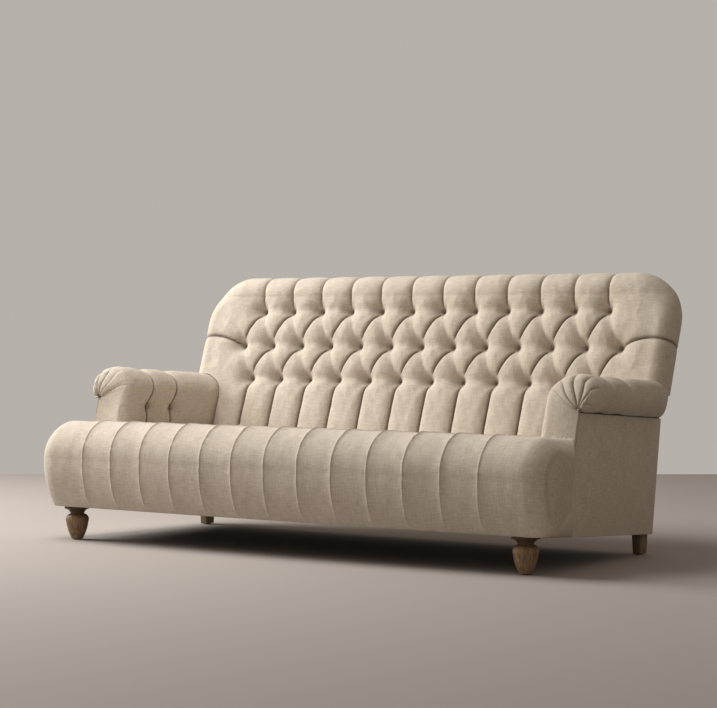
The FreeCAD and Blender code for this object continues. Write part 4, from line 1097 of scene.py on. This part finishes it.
outline = [(0.0, glide_height), (foot_radius - 2.5, glide_height), (foot_radius - 0.7, glide_height + 0.8),
           (foot_radius, glide_height + 2.8)]
for start, end, rise, away, count in (
        ((foot_radius + 0.3, glide_height + 4.0), (bulb_radius, leg_height - 52), 2.6, (1, 0), 16),
        ((bulb_radius, leg_height - 52), (neck_radius, leg_height - 24), 8.0, (1, 1), 16),
        ((neck_radius, leg_height - 24), (collar_radius, leg_height - 6), 4.4, (-1, 1), 12)):
    outline += arc_points(start, end, rise, away, count).tolist()
outline += [(collar_radius + 0.4, leg_height - 5), (collar_radius, leg_height - 3.6)]
outline += [(collar_radius - 0.3, None), (bore_radius, None), (bore_radius, leg_height - bore_depth),
            (0.0, leg_height - bore_depth)]
turns = np.linspace(0, 2 * math.pi, leg_sides, endpoint=False)
for side, way in (("right", 1), ("left", -1)):
    points, faces = [], []
    for radius, height in outline:
        for turn in turns:
            x, y = way * leg_places[0] + radius * math.cos(turn), leg_places[1] + radius * math.sin(turn)
            points.append((x / 1000, y / 1000, (under_body(y) if height is None else height) / 1000))
    for low in range(0, (len(outline) - 1) * leg_sides, leg_sides):
        for number in range(leg_sides):
            after = (number + 1) % leg_sides
            faces.append((low + number, low + after, low + leg_sides + after, low + leg_sides + number))
    mesh = bpy.data.meshes.new("turned_leg_" + side)
    mesh.from_pydata(points, [], faces)
    closed_shell(mesh, 50)
    leg = stand("turned_leg_" + side, mesh)
    leg.data.materials.append(leg_oak)
    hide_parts("front_leg_" + side)
    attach(leg, "root")


# Rear legs
# Plain square tapers of oak, stained an olive brown and set under the back posts. They are shorter than
# the front legs, because the body leans back.

rear_oak = wood("olive_brown_oak", (0.12, 0.085, 0.038), (0.25, 0.185, 0.09), (26, 26, 1.6), 0.55)
for side in ("left", "right"):
    leg = eased_copy("rear_leg_" + side, "tapered_leg_" + side, 0.0015, 0.012)
    leg.data.materials.append(rear_oak)
    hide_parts("rear_leg_" + side)
    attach(leg, "root")


# Frame and fillings
# Planed hardwood rails and posts, jute webbing, hessian and fibre cores, zinc leg bolts and plastic
# glides. All but the glides are inside the covers, as the solids have them.

frame_wood = wood("planed_hardwood", (0.36, 0.24, 0.135), (0.62, 0.46, 0.30), (1.2, 9, 9), 0.7)


def plain_finish(name, colour, roughness, metallic=0.0, speckle=0.12, fineness=240.0):
    """Even finish with a fine speckle, for what lies inside the covers."""
    finish, tree, shader = shaded(name, roughness)
    shader.inputs["Metallic"].default_value = metallic
    place = add_node(tree, "ShaderNodeTexCoord", {})
    noise = add_node(tree, "ShaderNodeTexNoise", {"Scale": fineness, "Vector": place.outputs["Object"]})
    ramp = add_node(tree, "ShaderNodeValToRGB", {"Fac": noise.outputs["Fac"]})
    for stop, tone in zip(ramp.color_ramp.elements, (1 - speckle, 1 + speckle)):
        stop.color = (*[min(1.0, value * tone) for value in colour], 1)
    tree.links.new(ramp.outputs["Color"], shader.inputs["Base Color"])
    return finish


finishes = {"frame_hardwood": frame_wood,
            "jute_webbing": plain_finish("jute", (0.42, 0.31, 0.18), 0.95, speckle=0.4),
            "stuffing": plain_finish("fibre_and_foam", (0.72, 0.67, 0.55), 0.98, speckle=0.2, fineness=90.0),
            "bolt_steel": plain_finish("zinc_plate", (0.56, 0.56, 0.58), 0.38, metallic=1.0, speckle=0.05),
            "glide_plastic": plain_finish("glide_plastic", (0.035, 0.033, 0.03), 0.5, speckle=0.05),
            "dust_cloth": plain_finish("black_dust_cloth", (0.03, 0.03, 0.03), 0.9, speckle=0.3)}
for entry in frame["record"]["subparts"]:
    if entry["material_slot"] in finishes:
        shape = frame["nodes"][entry["node"]].data
        shape.materials.clear()
        shape.materials.append(finishes[entry["material_slot"]])


# Flat cloths
# Two plain sheets, cut flat and tacked tight: the black dust cover under the seat frame, and the hessian
# strained over the back frame's rails and posts, behind the pad.

for node, name, kind, flat, area, holders in (
        ("dust_cover", "tacked_dust_cover", "dust_cloth", (1.968, 0.724), 1.385, ["front_rail", "rear_rail"]),
        ("back_hessian", "strained_hessian", "jute_webbing", (1.783, 0.411), 0.7335, ["back_lower_rail"])):
    sheet = eased_copy(node, name, 0.0003, 0.1)
    sheet.data.materials.append(finishes[kind])
    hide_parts(node)
    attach(sheet, "root")
